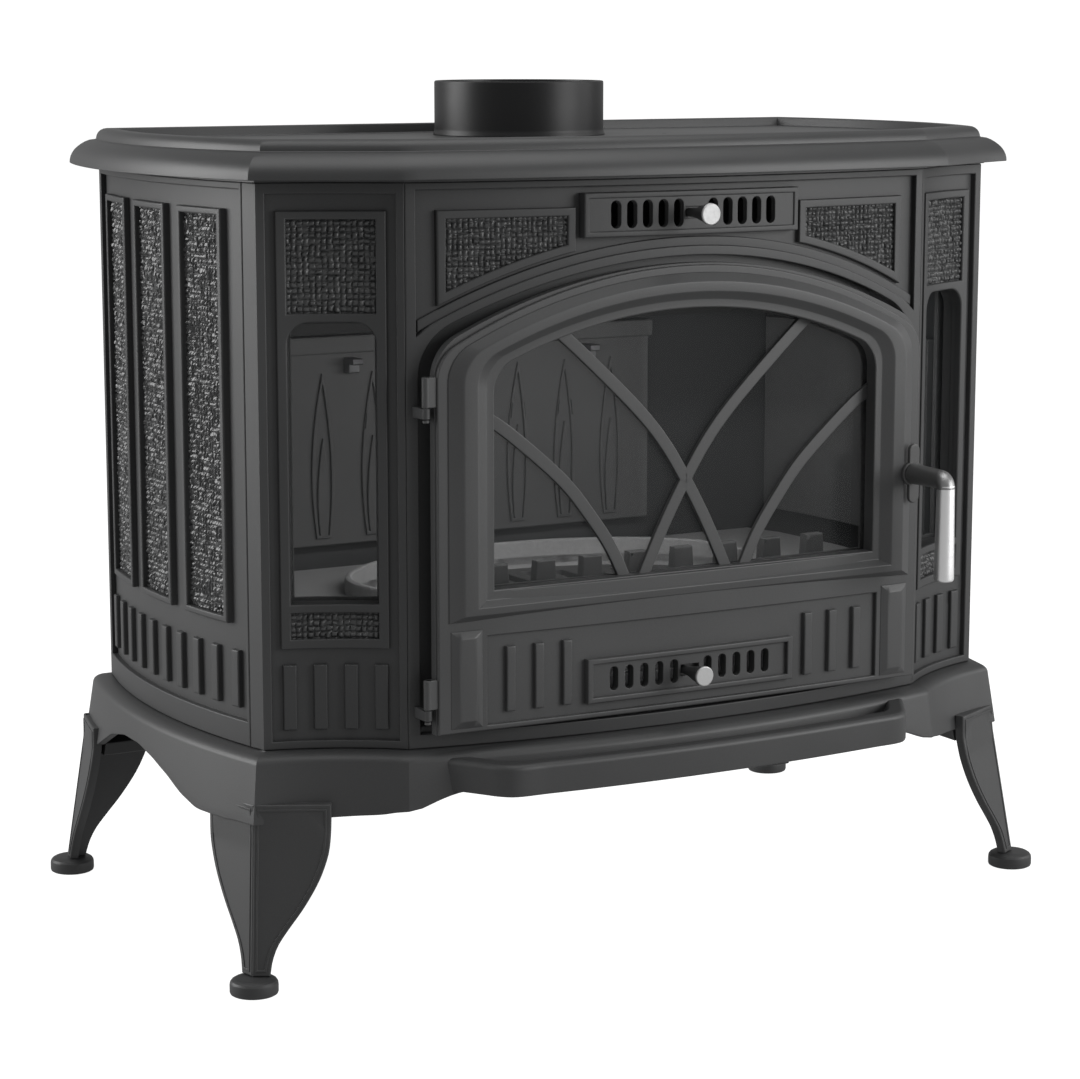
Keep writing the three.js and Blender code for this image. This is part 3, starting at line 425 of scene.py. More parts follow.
def post(x, y, z0, z1, radius):
    """An upright round post with softened ends."""
    soft = 0.5
    steps = [(z0, radius - soft), (z0 + soft, radius), (z1 - soft, radius), (z1, radius - soft)]
    return standing(x, y, steps, 32)


def lying(x, z, steps):
    """A round piece turned about a line along Y: steps are (y, radius)."""
    return swept([(x, y, z) for y, _ in steps], [r for _, r in steps], 40)


# %% [markdown]
# ## From shape to piece
#
# A piece is one or more shapes in one mesh. Faces that meet at less than about 23 degrees are
# shaded as one surface, so the four-step edges look round, and the Weighted Normal modifier keeps
# the large faces flat beside them. The piece then rides on its body and stands for its packed
# node.


# %% From shape to piece
SMOOTH_BELOW = math.radians(23)


def placed(name, data):
    """A new object in the scene."""
    obj = bpy.data.objects.new(name, data)
    bpy.context.scene.collection.objects.link(obj)
    return obj


def mesh_of(name, shapes):
    """One mesh, with each point's place on its sheet and how free the point is."""
    whole = joined(shapes)
    mesh = bpy.data.meshes.new(name)
    mesh.from_pydata((whole.points + (0, FLUE_Y, 0)) * MM, [], whole.faces)
    spread = (whole.marks * (MM, MM, 0)).astype(np.float32)
    sheet = mesh.attributes.new("sheet", "FLOAT_VECTOR", "POINT")
    sheet.data.foreach_set("vector", spread.ravel())
    free = mesh.attributes.new("free", "FLOAT", "POINT")
    free.data.foreach_set("value", whole.marks[:, 2].astype(np.float32))
    return mesh


def settle(obj, body, nodes):
    obj.data.shade_smooth()
    obj.data.set_sharp_from_angle(angle=SMOOTH_BELOW)
    normals = obj.modifiers.new("even_shading", "WEIGHTED_NORMAL")
    normals.keep_sharp = True
    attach(obj, body)
    if nodes:
        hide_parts(*nodes)
    print(f"{obj.name}: {len(obj.data.polygons)} faces")
    return obj


def piece(name, shapes, material, body="root"):
    """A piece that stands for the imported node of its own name."""
    mesh = mesh_of(name, shapes)
    mesh.materials.append(material)
    return settle(placed(name, mesh), body, [name])


def both_sides(name, shapes, material):
    """The right-hand piece and its mirror image."""
    piece(f"{name}_right", shapes, material)
    piece(f"{name}_left", [s.mirrored() for s in shapes], material)


# %% [markdown]
# ## Geometry Nodes: one tree that repeats a piece, one that weaves a relief
#
# Bars, teeth, lancets and bolts repeat one shape along a wall. The first tree puts a copy of that
# shape on every point of a small mesh, turned by the point's own angle. The second lifts the free
# points of a sheet. It divides the sheet into small cells, and in each cell one strand lies or
# stands, by chance, as in a rough weave; a little noise bends them. Both trees end in plain mesh,
# and the modifier is gone before the piece joins the stove.


# %% The two node trees
def set_inputs(tree, node, inputs):
    """Each input takes a value, or a link from another node's output."""
    for socket, value in inputs.items():
        if isinstance(value, bpy.types.NodeSocket):
            tree.links.new(value, node.inputs[socket])
        else:
            node.inputs[socket].default_value = value


def add(tree, kind, inputs=None, **settings):
    """The outputs of a new node."""
    node = tree.nodes.new(kind)
    for name, value in settings.items():
        setattr(node, name, value)
    set_inputs(tree, node, inputs or {})
    return node.outputs


def maths(tree, operation, a, b=None, kind="ShaderNodeMath", **settings):
    terms = {0: a} if b is None else {0: a, 1: b}
    return add(tree, kind, terms, operation=operation, **settings)[0]


def new_tree(name, kind, inputs, outputs):
    """A node tree whose sockets are {name: kind}, and what it is given."""
    tree = bpy.data.node_groups.new(name, kind)
    for way, rows in (("INPUT", inputs), ("OUTPUT", outputs)):
        for socket, of_kind in rows.items():
            tree.interface.new_socket(socket, in_out=way, socket_type="NodeSocket" + of_kind)
    return tree, tree.nodes.new("NodeGroupInput").outputs


def modelling_tree(name, inputs):
    inputs = {"Geometry": "Geometry", **inputs, "Material": "Material"}
    return new_tree(name, "GeometryNodeTree", inputs, {"Geometry": "Geometry"})


def close_tree(tree, given, geometry):
    """The tree's result: the geometry made real, in the given material."""
    real = add(tree, "GeometryNodeRealizeInstances", {0: geometry})[0]
    paint = {"Geometry": real, "Material": given["Material"]}
    add(tree, "NodeGroupOutput", {"Geometry": add(tree, "GeometryNodeSetMaterial", paint)[0]})
    return tree


def named(tree, name, kind):
    attribute = "GeometryNodeInputNamedAttribute"
    return add(tree, attribute, {"Name": name}, data_type=kind)["Attribute"]


def repeat_tree():
    tree, given = modelling_tree("repeat_on_points", {"Piece": "Object"})
    source = add(tree, "GeometryNodeObjectInfo", {"Object": given["Piece"]})["Geometry"]
    turn = add(tree, "ShaderNodeCombineXYZ", {"Z": named(tree, "turn", "FLOAT")})[0]
    copies = {"Points": given["Geometry"], "Instance": source, "Rotation": turn}
    return close_tree(tree, given, add(tree, "GeometryNodeInstanceOnPoints", copies)[0])


DRIFT_SCALE = 0.45  # how slowly the noise bends the cells, in cells
STANDING_SHARE = 0.45  # of the strands
STRAND_ROUND, END_ROUND, END_DIP = 0.6, 4.0, 0.55
LOWEST_STRAND = 0.55  # of the full height


def weave_tree():
    floats = ("Height", "Cell", "Bend", "Seed")
    tree, given = modelling_tree("woven_relief", {name: "Float" for name in floats})

    def number(operation, a, b=None):
        return maths(tree, operation, a, b)

    def vector(operation, a, b=None):
        return maths(tree, operation, a, b, "ShaderNodeVectorMath")

    def scaled(a, factor):
        terms = {0: a, "Scale": factor}
        return add(tree, "ShaderNodeVectorMath", terms, operation="SCALE")[0]

    def chance(place, shift):
        throw = {"Vector": place, "W": number("ADD", given["Seed"], shift)}
        return add(tree, "ShaderNodeTexWhiteNoise", throw, noise_dimensions="4D")["Value"]

    in_cells = scaled(named(tree, "sheet", "FLOAT_VECTOR"), number("DIVIDE", 1.0, given["Cell"]))
    drift = {"Vector": in_cells, "W": given["Seed"], "Scale": DRIFT_SCALE}
    drift = add(tree, "ShaderNodeTexNoise", drift, noise_dimensions="4D")["Color"]
    bent = vector("ADD", in_cells, scaled(drift, given["Bend"]))
    cell = vector("FLOOR", bent)
    inside = add(tree, "ShaderNodeSeparateXYZ", {0: vector("FRACTION", bent)})
    lying_down = number("GREATER_THAN", chance(cell, 0.0), STANDING_SHARE)
    x, y = inside["X"], inside["Y"]
    swing = number("MULTIPLY", number("SUBTRACT", y, x), lying_down)
    across, along = number("ADD", x, swing), number("SUBTRACT", y, swing)
    wave = number("ABSOLUTE", number("SINE", number("MULTIPLY", across, math.pi)))
    ridge = number("POWER", wave, STRAND_ROUND)
    from_middle = number("ABSOLUTE", number("SUBTRACT", number("MULTIPLY", along, 2.0), 1.0))
    end = number("POWER", from_middle, END_ROUND)
    dip = number("SUBTRACT", 1.0, number("MULTIPLY", end, END_DIP))
    own = number("MULTIPLY", chance(cell, 7.0), 1 - LOWEST_STRAND)
    own = number("ADD", own, LOWEST_STRAND)
    lift = number("MULTIPLY", number("MULTIPLY", ridge, dip), own)
    lift = number("MULTIPLY", lift, given["Height"])
    lift = number("MULTIPLY", lift, named(tree, "free", "FLOAT"))
    offset = scaled(add(tree, "GeometryNodeInputNormal")[0], lift)
    moved = {"Geometry": given["Geometry"], "Offset": offset}
    return close_tree(tree, given, add(tree, "GeometryNodeSetPosition", moved)[0])


REPEAT = repeat_tree()
WEAVE = weave_tree()


def grown_by(tree, name, mesh, values):
    """The plain mesh that the tree makes of a mesh."""
    start = placed(name, mesh)
    modifier = start.modifiers.new("tree", "NODES")
    modifier.node_group = tree
    for item in tree.interface.items_tree:
        if item.in_out == "INPUT" and item.name in values:
            modifier[item.identifier] = values[item.name]
    bpy.context.view_layer.update()
    grown = start.evaluated_get(bpy.context.evaluated_depsgraph_get())
    ready = bpy.data.meshes.new_from_object(grown)
    bpy.data.objects.remove(start)
    made = placed(name, ready)
    ready.name = name
    return made


def repeated(name, shape, spots, material, nodes=(), body="root"):
    """The shape, drawn round the origin, copied to each spot: (x, y, z, turn about z)."""
    sample_mesh = bpy.data.meshes.new(name + "_sample")
    sample_mesh.from_pydata(shape.points * MM, [], shape.faces)
    sample = placed(name + "_sample", sample_mesh)
    spots = np.array(spots, float)
    points = bpy.data.meshes.new(name)
    points.from_pydata((spots[:, :3] + (0, FLUE_Y, 0)) * MM, [], [])
    turn = points.attributes.new("turn", "FLOAT", "POINT")
    turn.data.foreach_set("value", spots[:, 3].astype(np.float32))
    made = grown_by(REPEAT, name, points, {"Piece": sample, "Material": material})
    bpy.data.objects.remove(sample)
    return settle(made, body, nodes)


def woven(name, shapes, material, height, cell, bend, seed):
    """Sheets with the relief grown on them, in one piece."""
    values = {"Height": height * MM, "Cell": cell * MM, "Bend": bend, "Seed": seed}
    values["Material"] = material
    return settle(grown_by(WEAVE, name, mesh_of(name, shapes), values), "root", ())


def woven_both_sides(name, shapes, seeds, *how):
    """The right-hand relief, and its mirror image with a weave of its own."""
    woven(f"{name}_right", shapes, *how, seeds[0])
    woven(f"{name}_left", [s.mirrored() for s in shapes], *how, seeds[1])


def repeated_both_sides(name, shape, spots, material):
    repeated(f"{name}_right", shape, spots, material)
    repeated(f"{name}_left", shape, spots * (-1, 1, 1, -1), material)


def spots_on(place, us, z):
    """Places on a wall, each with the wall's own angle."""
    us = np.array(us, float)
    here, ahead = (place(us + d, z + 0 * us, 0 * us) for d in (0, 0.1))
    turn = np.arctan2(ahead[:, 1] - here[:, 1], ahead[:, 0] - here[:, 0])
    return np.column_stack([here, turn])

# %% [markdown]
# ## Finishes
#
# The castings are painted matt black over a sand-cast skin, so the paint is never one flat grey:
# it is mottled and faintly grainy, and a painted highlight lightens every edge. That skin and the
# highlight are one shader group, used by every iron finish with its own values. The shader itself
# stays in each material.


# %% The sand-cast skin
PATCHES = 9.0  # noise scale of the mottling
SPECKLE, GLOSS_DRIFT = 0.35, 0.25
BLUNT, HIGHLIGHT_GAIN = 0.53, 9.0  # pointiness where the painted edge highlight starts, and how fast it grows


def skin_group():
    kinds = {"Colour": "Color", "Grain": "Float", "Mottle": "Float", "Rubbed": "Float"}
    results = {"Colour": "Color", "Roughness": "Float", "Height": "Float"}
    inputs = {**kinds, "Roughness": "Float"}
    tree, given = new_tree("sand_cast_skin_and_edge_highlight", "ShaderNodeTree", inputs, results)
    place = add(tree, "ShaderNodeTexCoord")["Object"]

    def number(operation, a, b, **settings):
        return maths(tree, operation, a, b, **settings)

    def noise(scale, detail):
        values = {"Vector": place, "Scale": scale, "Detail": detail}
        return add(tree, "ShaderNodeTexNoise", values)[0]

    patches, grain = noise(PATCHES, 3.0), noise(given["Grain"], 2.0)
    drift = number("MULTIPLY", number("SUBTRACT", patches, 0.5), given["Mottle"])
    speck = number("MULTIPLY", number("SUBTRACT", grain, 0.5), SPECKLE)
    pointed = add(tree, "ShaderNodeNewGeometry")["Pointiness"]
    # painted highlight: the most pointed edges are lightened, standing in for light caught on them
    edge = number("MULTIPLY", number("SUBTRACT", pointed, BLUNT), HIGHLIGHT_GAIN, use_clamp=True)
    edge = number("MULTIPLY", edge, given["Rubbed"])
    gain = number("ADD", number("ADD", drift, speck), number("ADD", edge, 1.0))
    tint = {0: given["Colour"], "Scale": gain}
    results = {
        "Colour": add(tree, "ShaderNodeVectorMath", tint, operation="SCALE")[0],
        "Roughness": number("ADD", given["Roughness"], number("MULTIPLY", drift, GLOSS_DRIFT)),
        "Height": grain,
    }
    add(tree, "NodeGroupOutput", results)
    return tree


SKIN = skin_group()


def new_material(name):
    made = bpy.data.materials.new(name)
    made.use_nodes = True
    return made, made.node_tree, made.node_tree.nodes["Principled BSDF"]


# Rubbed in each set is the strength of the painted highlight on edges
SAND_CAST = {"Grain": 900.0, "Mottle": 0.35, "Rubbed": 0.5}
HEAT_WORN = {"Grain": 300.0, "Mottle": 0.4, "Rubbed": 0.4}
GRAIN_DEPTH = 0.0004  # metres


def iron(name, colour, roughness, bump=0.12, specular=0.5, **skin_values):
    made, tree, shader = new_material(name)
    values = {"Colour": (*colour, 1), "Roughness": roughness, **SAND_CAST, **skin_values}
    skin = add(tree, "ShaderNodeGroup", values, node_tree=SKIN)
    raised = {"Strength": bump, "Distance": GRAIN_DEPTH, "Height": skin["Height"]}
    values = {
        "Base Color": skin["Colour"],
        "Roughness": skin["Roughness"],
        "Normal": add(tree, "ShaderNodeBump", raised)[0],
        "Specular IOR Level": specular,
    }
    set_inputs(tree, shader, values)
    return made


# a larger Rubbed gives a finish a stronger painted highlight on its edges
IRON = iron("black_stove_iron", (0.029, 0.0295, 0.030), 0.5)
TOP_IRON = iron("top_plate_iron", (0.029, 0.0295, 0.030), 0.45, Mottle=0.45)
RELIEF = iron("relief_iron", (0.038, 0.0385, 0.039), 0.4, Mottle=0.5, Rubbed=1.2)
SIDE_RELIEF = iron("side_relief_iron", (0.024, 0.0245, 0.025), 0.27, Mottle=0.5, Rubbed=1.2)
BASE_IRON = iron("base_iron", (0.034, 0.0345, 0.035), 0.48)
DOOR_IRON = iron("door_iron", (0.042, 0.0425, 0.043), 0.46)
COLLAR_IRON = iron("collar_iron", (0.009, 0.009, 0.0095), 0.4, specular=0.3, Mottle=0.25)
PIN_STEEL = iron("oiled_pin_steel", (0.05, 0.05, 0.05), 0.4)
FIREBOX = iron("firebox_iron", (0.085, 0.085, 0.085), 0.7, 0.05, **{**HEAT_WORN, "Mottle": 0.5})
RING = iron("hearth_ring_iron", (0.32, 0.32, 0.32), 0.55, 0.05, **HEAT_WORN)
TRACERY = iron("tracery_iron", (0.045, 0.0455, 0.046), 0.45, Rubbed=0.8)

# %% [markdown]
# ## Bright metal, zinc, glass and rope
#
# The grip and the knobs are satin nickel: a metal whose roughness is streaked by the turning
# marks. The panes are thin heat-proof glass. Glass that refracts needs many light paths to show a
# dark firebox, so the pane is a glossy film that lets most of the light straight through, which
# also travels well to other programs.


# %% Bright metal, zinc, glass and rope
def wandering(tree, low, high, scale):
    """A value that wanders from low to high, faster along an axis of greater scale."""
    place = add(tree, "ShaderNodeTexCoord")["Object"]
    place = add(tree, "ShaderNodeMapping", {"Vector": place, "Scale": scale})[0]
    noise = add(tree, "ShaderNodeTexNoise", {"Vector": place, "Scale": 1.0})[0]
    return add(tree, "ShaderNodeMapRange", {"Value": noise, "To Min": low, "To Max": high})[0]


def turned_metal(name, colour, roughness, streaks):
    made, tree, shader = new_material(name)
    gloss = wandering(tree, roughness * 0.75, roughness * 1.3, streaks)
    set_inputs(tree, shader, {"Base Color": (*colour, 1), "Metallic": 1.0, "Roughness": gloss})
    return made


def window_glass():
    made, tree, shader = new_material("window_glass")
    values = {"Base Color": (0.03, 0.032, 0.033, 1), "IOR": 1.5, "Alpha": 0.22}
    set_inputs(tree, shader, {**values, "Roughness": wandering(tree, 0.02, 0.07, (7, 7, 7))})
    return made


def braided_rope():
    made, tree, shader = new_material("seal_rope")
    braid = {"Vector": add(tree, "ShaderNodeTexCoord")["Object"], "Scale": 120.0}
    braid = add(tree, "ShaderNodeTexWave", braid, bands_direction="DIAGONAL")["Fac"]
    raised = add(tree, "ShaderNodeBump", {"Height": braid, "Distance": 0.001})[0]
    values = {"Base Color": (0.1, 0.097, 0.09, 1), "Roughness": 0.95, "Normal": raised}
    set_inputs(tree, shader, values)
    return made


NICKEL = turned_metal("satin_nickel", (0.9, 0.9, 0.9), 0.36, (40, 40, 900))
KNOB_NICKEL = turned_metal("knob_nickel", (0.42, 0.42, 0.42), 0.5, (500, 40, 500))
ARM_METAL = turned_metal("brushed_arm", (0.3, 0.3, 0.3), 0.42, (300, 300, 300))
ZINC = turned_metal("dull_zinc", (0.42, 0.42, 0.43), 0.45, (60, 60, 60))
GLASS = window_glass()
ROPE = braided_rope()
print(f"{len(bpy.data.materials)} materials in use")

# %% [markdown]
# ## The base casting
#
# The base is a skirt that flares as it goes down, with a rounded shoulder where the body stands on
# it. Its lower edge is cut in arches between the legs. A profile whose lowest rings follow that
# edge does this in one surface, where a sweep and three booleans would leave ragged corners. In
# front, the ash lip bows out of it as a shallow tray.


# %% The base: plan outline, lower edge and skirt
def body_outline():
    u = np.linspace(0, FRONT_HALF, 22)
    right = [*front(u, 0 * u, 0 * u)[:, :2]]
    u = np.linspace(-DIAGONAL_HALF, DIAGONAL_HALF, 12)[1:-1]
    right += [*diagonal(u, 0 * u, 0 * u)[:, :2]]
    u = np.linspace(POST_Y, BACK_Y, 40) - SIDE_CENTRE_Y
    right += [*side(u, 0 * u, 0 * u)[:, :2]]
    return [tuple(p) for p in right] + [(-p[0], p[1]) for p in right[:0:-1]]


BODY = body_outline()
SKIRT_FOOT, SHOULDER = 130.0, 178.5
FRONT_EDGE = (
    (0, 154), (200, 154), (212, 153), (226, 149), (246, 141), (262, 137.5), (318, 134), (366, 130),
)
SIDE_EDGE = (
    (-150, 130), (-124, 137), (-100, 146.5), (-70, 155), (-40, 160.5), (-5, 160.5), (30, 153.5),
    (78, 132),
)
BACK_EDGE = ((0, 157), (220, 157), (245, 154), (270, 148), (306, 132))


def lower_edge(loop):
    """How high the skirt's lower edge stands at each point of the plan."""
    x, y = np.abs(loop[:, 0]), loop[:, 1]
    z = np.interp(y, *zip(*SIDE_EDGE))
    z = np.where(y < -195, np.interp(x, *zip(*FRONT_EDGE)), z)
    z = np.where(y > BACK_Y - 2, np.interp(x, *zip(*BACK_EDGE)), z)
    around = np.stack([np.roll(z, k) for k in (-1, 0, 0, 1)])
    return around.mean(0)


def flare(z):
    return 22 - 7 * (z - SKIRT_FOOT) / (SHOULDER - SKIRT_FOOT)


def at_edge(rise, inwards):
    """One ring of the skirt's lower edge: so far above it, and so far inside its outer face."""
    height = lambda loop: lower_edge(loop) + rise
    return (lambda loop: inwards - flare(height(loop)), height)


shoulder = [
    (-15, SHOULDER), (-14.3, 180.6), (-12.9, 182.4), (-10.9, 184), (-8.4, 185.3), (-5.7, 186.1),
    (-3, FLOOR_TOP),
]
skirt_profile = [
    (-2, SHOULDER), (-6, 170), at_edge(4, 8), at_edge(1, 8), at_edge(0, 7), at_edge(0, 1.2)
]
skirt_profile += [at_edge(0.4, 0.3), at_edge(1.4, 0), at_edge(8, 0), *shoulder, (1, FLOOR_TOP)]
skirt = plate(flat, BODY, skirt_profile, grid=None)

LIP_TOP, LIP_FOOT = 181.0, 155.0


def lip_outline(reach, ends, behind):
    bow = arc(0, 1256, reach, -math.pi / 2 - 0.1, -math.pi / 2 + 0.1, 30)
    corner_line = [(ends[0][0], behind), *spline([*ends, bow[0]], 5)]
    return [*corner_line[:-1], *bow, *[(-x, y) for x, y in corner_line[-2::-1]]]


lip_profile = [
    (7, LIP_FOOT + 6), (6, LIP_FOOT), (1.2, LIP_FOOT), (0.3, LIP_FOOT + 0.4), (0, LIP_FOOT + 1.4),
]
lip_profile += rounded(LIP_FOOT, LIP_TOP, 5, steps=8)[1:]
outer_lip = lip_outline(1600, [(-225, -284), (-206, -313), (-197, -326), (-185, -334)], -262)
tray = lip_outline(1586, [(-207, -284), (-192, -306), (-184, -315.5), (-174, -320.5)], -272)
tray_profile = [(-3, LIP_TOP - 8), (0, LIP_TOP - 2), (0.7, LIP_TOP - 0.6), (1.8, LIP_TOP)]
lip = plate(flat, outer_lip, lip_profile, [(tray, tray_profile)], grid=None)
lip_floor = plate(flat, tray, rounded(LIP_TOP - 14, LIP_TOP - 8, 0.5), grid=None)
piece("base_casting", [skirt, lip, lip_floor], BASE_IRON)
piece("lip_bracket", [block(72, 106, -284, -264, 136, 178.2, 1.5)], IRON)

# %% [markdown]
# ## Legs and feet
#
# Each leg is an angle casting: two curved wings that meet on a ridge, wide at the top and drawn in
# to the foot in an S. A thin raised line follows the outline of each wing. The wings are plates on
# two upright walls, and the whole leg is leaned outwards in one step, as it stands on the real
# stove.

# %% Legs, feet and bolts
LEG_TOP, WING_TOP = 129.4, 148.0
WING = [
    (13.5, 14.5), (26, 16.5), (38, 21), (50, 29), (66, 40.5), (84, 51), (100, 57.5), (116, 61),
    (WING_TOP, 62),
]


def wing_outline(way, gap):
    """A wing's outline, drawn gap inside its free edges."""
    heights = np.linspace(WING[0][0] + gap, WING_TOP - gap, 28)
    curve = spline([(w, z) for z, w in WING], 6)
    width = np.interp(heights, [z for _, z in curve], [w for w, _ in curve]) - gap
    edge = [(way * w, z) for w, z in zip(width, heights)]
    return [(way * gap * 0.8, heights[0]), *edge, (way * gap * 0.8, heights[-1])]


def leg(ridge, wings, lean, bracket):
    shapes = []
    for along, way in wings:
        face = wall(ridge, along, lambda u: 0 * u)
        shapes.append(plate(face, wing_outline(way, 0), rounded(-7.5, 0, 1.6), grid=None))
        inside = [wing_outline(way, 5.6)]
        shapes.append(plate(face, wing_outline(way, 3.6), rounded(-1, 0.7, 0.5), inside, grid=None))
    shapes.append(block(*bracket, LEG_TOP - 12, LEG_TOP, 1.5))

    def leaned(points):
        drop = (1 - points[:, 2:] / LEG_TOP) * [(*lean, 0)]
        return points + np.where(points[:, 2:] < LEG_TOP, drop, 0)

    return [s.moved(leaned) for s in shapes]


front_wings = [((14, 69), 1), ((102.9, 52.8), -1)]
back_wings = [((-18, 78), -1), ((-1, 0), 1)]
front_leg = leg((367, -228.5), front_wings, (13, -21), (325, 363, -224, -190))
back_leg = leg((370, 141), back_wings, (13, 21), (322, 366, 97, 136))
both_sides("leg_front", front_leg, BASE_IRON)
both_sides("leg_back", back_leg, IRON)


def foot(x, y):
    """A turned pad with a soft rim."""
    rim = [(0, 18), (0.6, 19), (2, 19.5), (7.5, 19.5), (9.5, 19.2), (11.2, 18)]
    return standing(x, y, [*rim, (12.4, 16), (13, 13.6), (13.2, 9.5)], 56)


both_sides("foot_front", [foot(376.5, -246.5)], IRON)
both_sides("foot_back", [foot(378.5, 157)], IRON)
bolt_head = plate(flat, circle(0, 0, 6.5, 6), rounded(0.4, 4.8, 0.8), grid=None)
for end, y in (("front", -196), ("back", 100)):
    for hand, way in (("right", 1), ("left", -1)):
        name, spot = f"leg_bolt_{end}_{hand}", [(way * 328.5, y, FLOOR_TOP, 0.3)]
        repeated(name, bolt_head, spot, ZINC, [name])

# %% [markdown]
# ## The front frame
#
# The frame is a bowed sheet with a raised border. Its arched opening takes the door, an arched
# moulding follows the opening, and in each upper corner a raised frame holds a woven panel. The
# sheet, the border and the frames are plates on the same wall, one on the other, as the pattern
# maker would pin them to his board.

# %% The front frame
OPENING = arched(237.6, 198.4, 573.7, 493.7, 47)
foot_z = FLOOR_TOP + 0.3
edge_half = FRONT_HALF - 0.2
MOULDING_Z = 86.4  # centre of the arched mouldings
WOVEN_SHEET = [(0, -8), (0, -4.8)]
WEAVE_GRID = (0.75, 0.75)  # fine enough to carry the strands


def spandrel(way, radius, start, end, u0, u1, top):
    curve = arc(0, MOULDING_Z, radius, math.pi / 2 - start, math.pi / 2 - end, 16)
    return [(way * u, z) for u, z in [*curve, (u0, top), (u1, top)]]


def field_outline():
    """The sunk field above the arch, inside the border."""
    arch = arched(249.6, 150, 581.6, 495.2, 47)
    over = sorted((p for p in arch if abs(p[0]) < 239 and p[1] > 460), key=lambda p: p[0])
    low = over[0][1] - 2
    return [(-239, low), *over, (239, low), (239, 631), (-239, 631)]


vent_window = rect(-88, 88, 596.5, 620.5)
whole = rect(-edge_half, edge_half, foot_z, BODY_TOP)
sheet = plate(front, whole, rounded(-WALL, -5, 0.5), [OPENING, vent_window])
border = plate(front, whole, rounded(-6, 0, 1.1), [OPENING, field_outline()])
line_arch = arc(0, MOULDING_Z, 502.5, math.pi / 2 - 0.492, math.pi / 2 + 0.492, 54)
line_arch += arc(0, MOULDING_Z, 494.5, math.pi / 2 + 0.5, math.pi / 2 - 0.5, 54)


def round_the_hinge(outline):
    """The part of an arched outline that runs over the crown and down the hinge side."""
    kept = [(x, z) for x, z in outline if x < 195 and z > 240]
    return sorted(kept, key=lambda p: math.atan2(p[1] - 380, p[0]) % (2 * math.pi))


stop_outer = [*round_the_hinge(arched(245, 192, 581, 501, 54)), (-245, 212)]
stop_inner = [(-213, 212), *round_the_hinge(arched(213, 215, 557, 477, 31))[::-1]]
door_stop = plate(front, [*stop_outer, *stop_inner], rounded(-12.4, -9.6, 0.6, both=True))
shapes = [sheet, border, door_stop, plate(front, line_arch, rounded(-6, -2.4, 1.0))]
for way in (-1, 1):
    inner = spandrel(way, 512, 0.433, 0.224, 113.5, 214.5, 608)
    outer = spandrel(way, 505, 0.454, 0.2125, 106.5, 222, 615)
    shapes.append(plate(front, outer, rounded(-6, -0.6, 1.3), [inner]))
lug = rect(HINGE[0] - HINGE_RADIUS, HINGE[0] + 1.2, HINGE[1], -262)
for low in HINGE_FEET.values():
    shapes.append(post(*HINGE, low, low + 8.5, HINGE_RADIUS))
    shapes.append(plate(flat, lug, rounded(low, low + 8.5, 0.6, both=True)))
piece("front_frame", shapes, IRON)
backs = [spandrel(way, 510, 0.437, 0.222, 112, 216, 609.5) for way in (-1, 1)]
weave = [plate(front, outline, WOVEN_SHEET, grid=WEAVE_GRID) for outline in backs]
woven("front_frame_relief", weave, RELIEF, 3.0, 4.4, 0.9, 4.0)
for end, low in HINGE_FEET.items():
    pin = [post(*HINGE, low - 0.4, low + 33, 1.9), post(*HINGE, low - 3, low - 0.5, 2.7)]
    piece(f"hinge_pin_{end}", pin, PIN_STEEL)
keeper = plate(flat, rect(238.5, 246.5, -255.8, -254.9), rounded(364, 396, 0.3, both=True))
piece("latch_keeper", [keeper], ZINC)

# %% [markdown]
# ## The vent over the door
#
# A proud plate with ten slots slides nothing itself: it covers the air slide, whose knob comes
# through a longer slot in the middle. The plate has a fine step just inside its rim.

# %% Upper vent cover
cover = [
    plate(
        front,
        rect(-101.7, 101.7, 590.7, 626.2),
        rounded(-4.7, 4, 1.2),
        [rect(-97, 97, 595.4, 621.5)],
    ),
    plate(
        front,
        rect(-97.4, 97.4, 595, 621.9),
        rounded(0.4, 2.9, 0.6),
        [*vent_slots(UPPER_Z, *UPPER_SLOT), knob_slot(UPPER_Z)],
    ),
]
piece("upper_vent_cover", cover, IRON)


def air_slide(face, z, half, height, low, high, face_y, disc_y, slot_size):
    """The slotted plate behind a vent, with the knob's dark cone."""
    leaf = rect(-half, half, z - height / 2, z + height / 2)
    leaf = plate(face, leaf, rounded(low, high, 0.4), vent_slots(z, *slot_size))
    neck = [(9, 3.4), (4, 3.4), (-2, 3.6), (-5, 3.9), (-9, 4.2)]
    flange = [(3, 7.6), (1.2, 8.4), (0.4, 8.4), (0, 8.0)]
    cone = [(face_y + y, r) for y, r in neck] + [(disc_y + y, r) for y, r in flange]
    return [leaf, lying(KNOB_X, z, cone)]


def knob_disc(z, y, radius):
    steps = [(0.1, 0.4), (0.5, 0), (1.4, 0), (1.9, 0.3), (2.2, 0.9)]
    return lying(KNOB_X, z, [(y - out, radius - less) for out, less in steps])


UPPER_DISC_Y, LOWER_DISC_Y = -324.6, -321.6
upper = air_slide(front, UPPER_Z, 82, 24.4, -2.8, -0.5, -297, UPPER_DISC_Y, UPPER_SLOT)
piece("upper_air_slide", upper, IRON, "upper_slide")
upper_disc = knob_disc(UPPER_Z, UPPER_DISC_Y, 8.8)
piece("upper_knob_cap", [upper_disc], KNOB_NICKEL, "upper_slide")

# %% [markdown]
# ## The corner panels
#
# A corner casting is a hollow diagonal wall that turns round the post on to the side. Drawn flat
# it is one sheet with a crease at the post. Its raised frame has three openings: a woven square, a
# tall window and a woven strip.

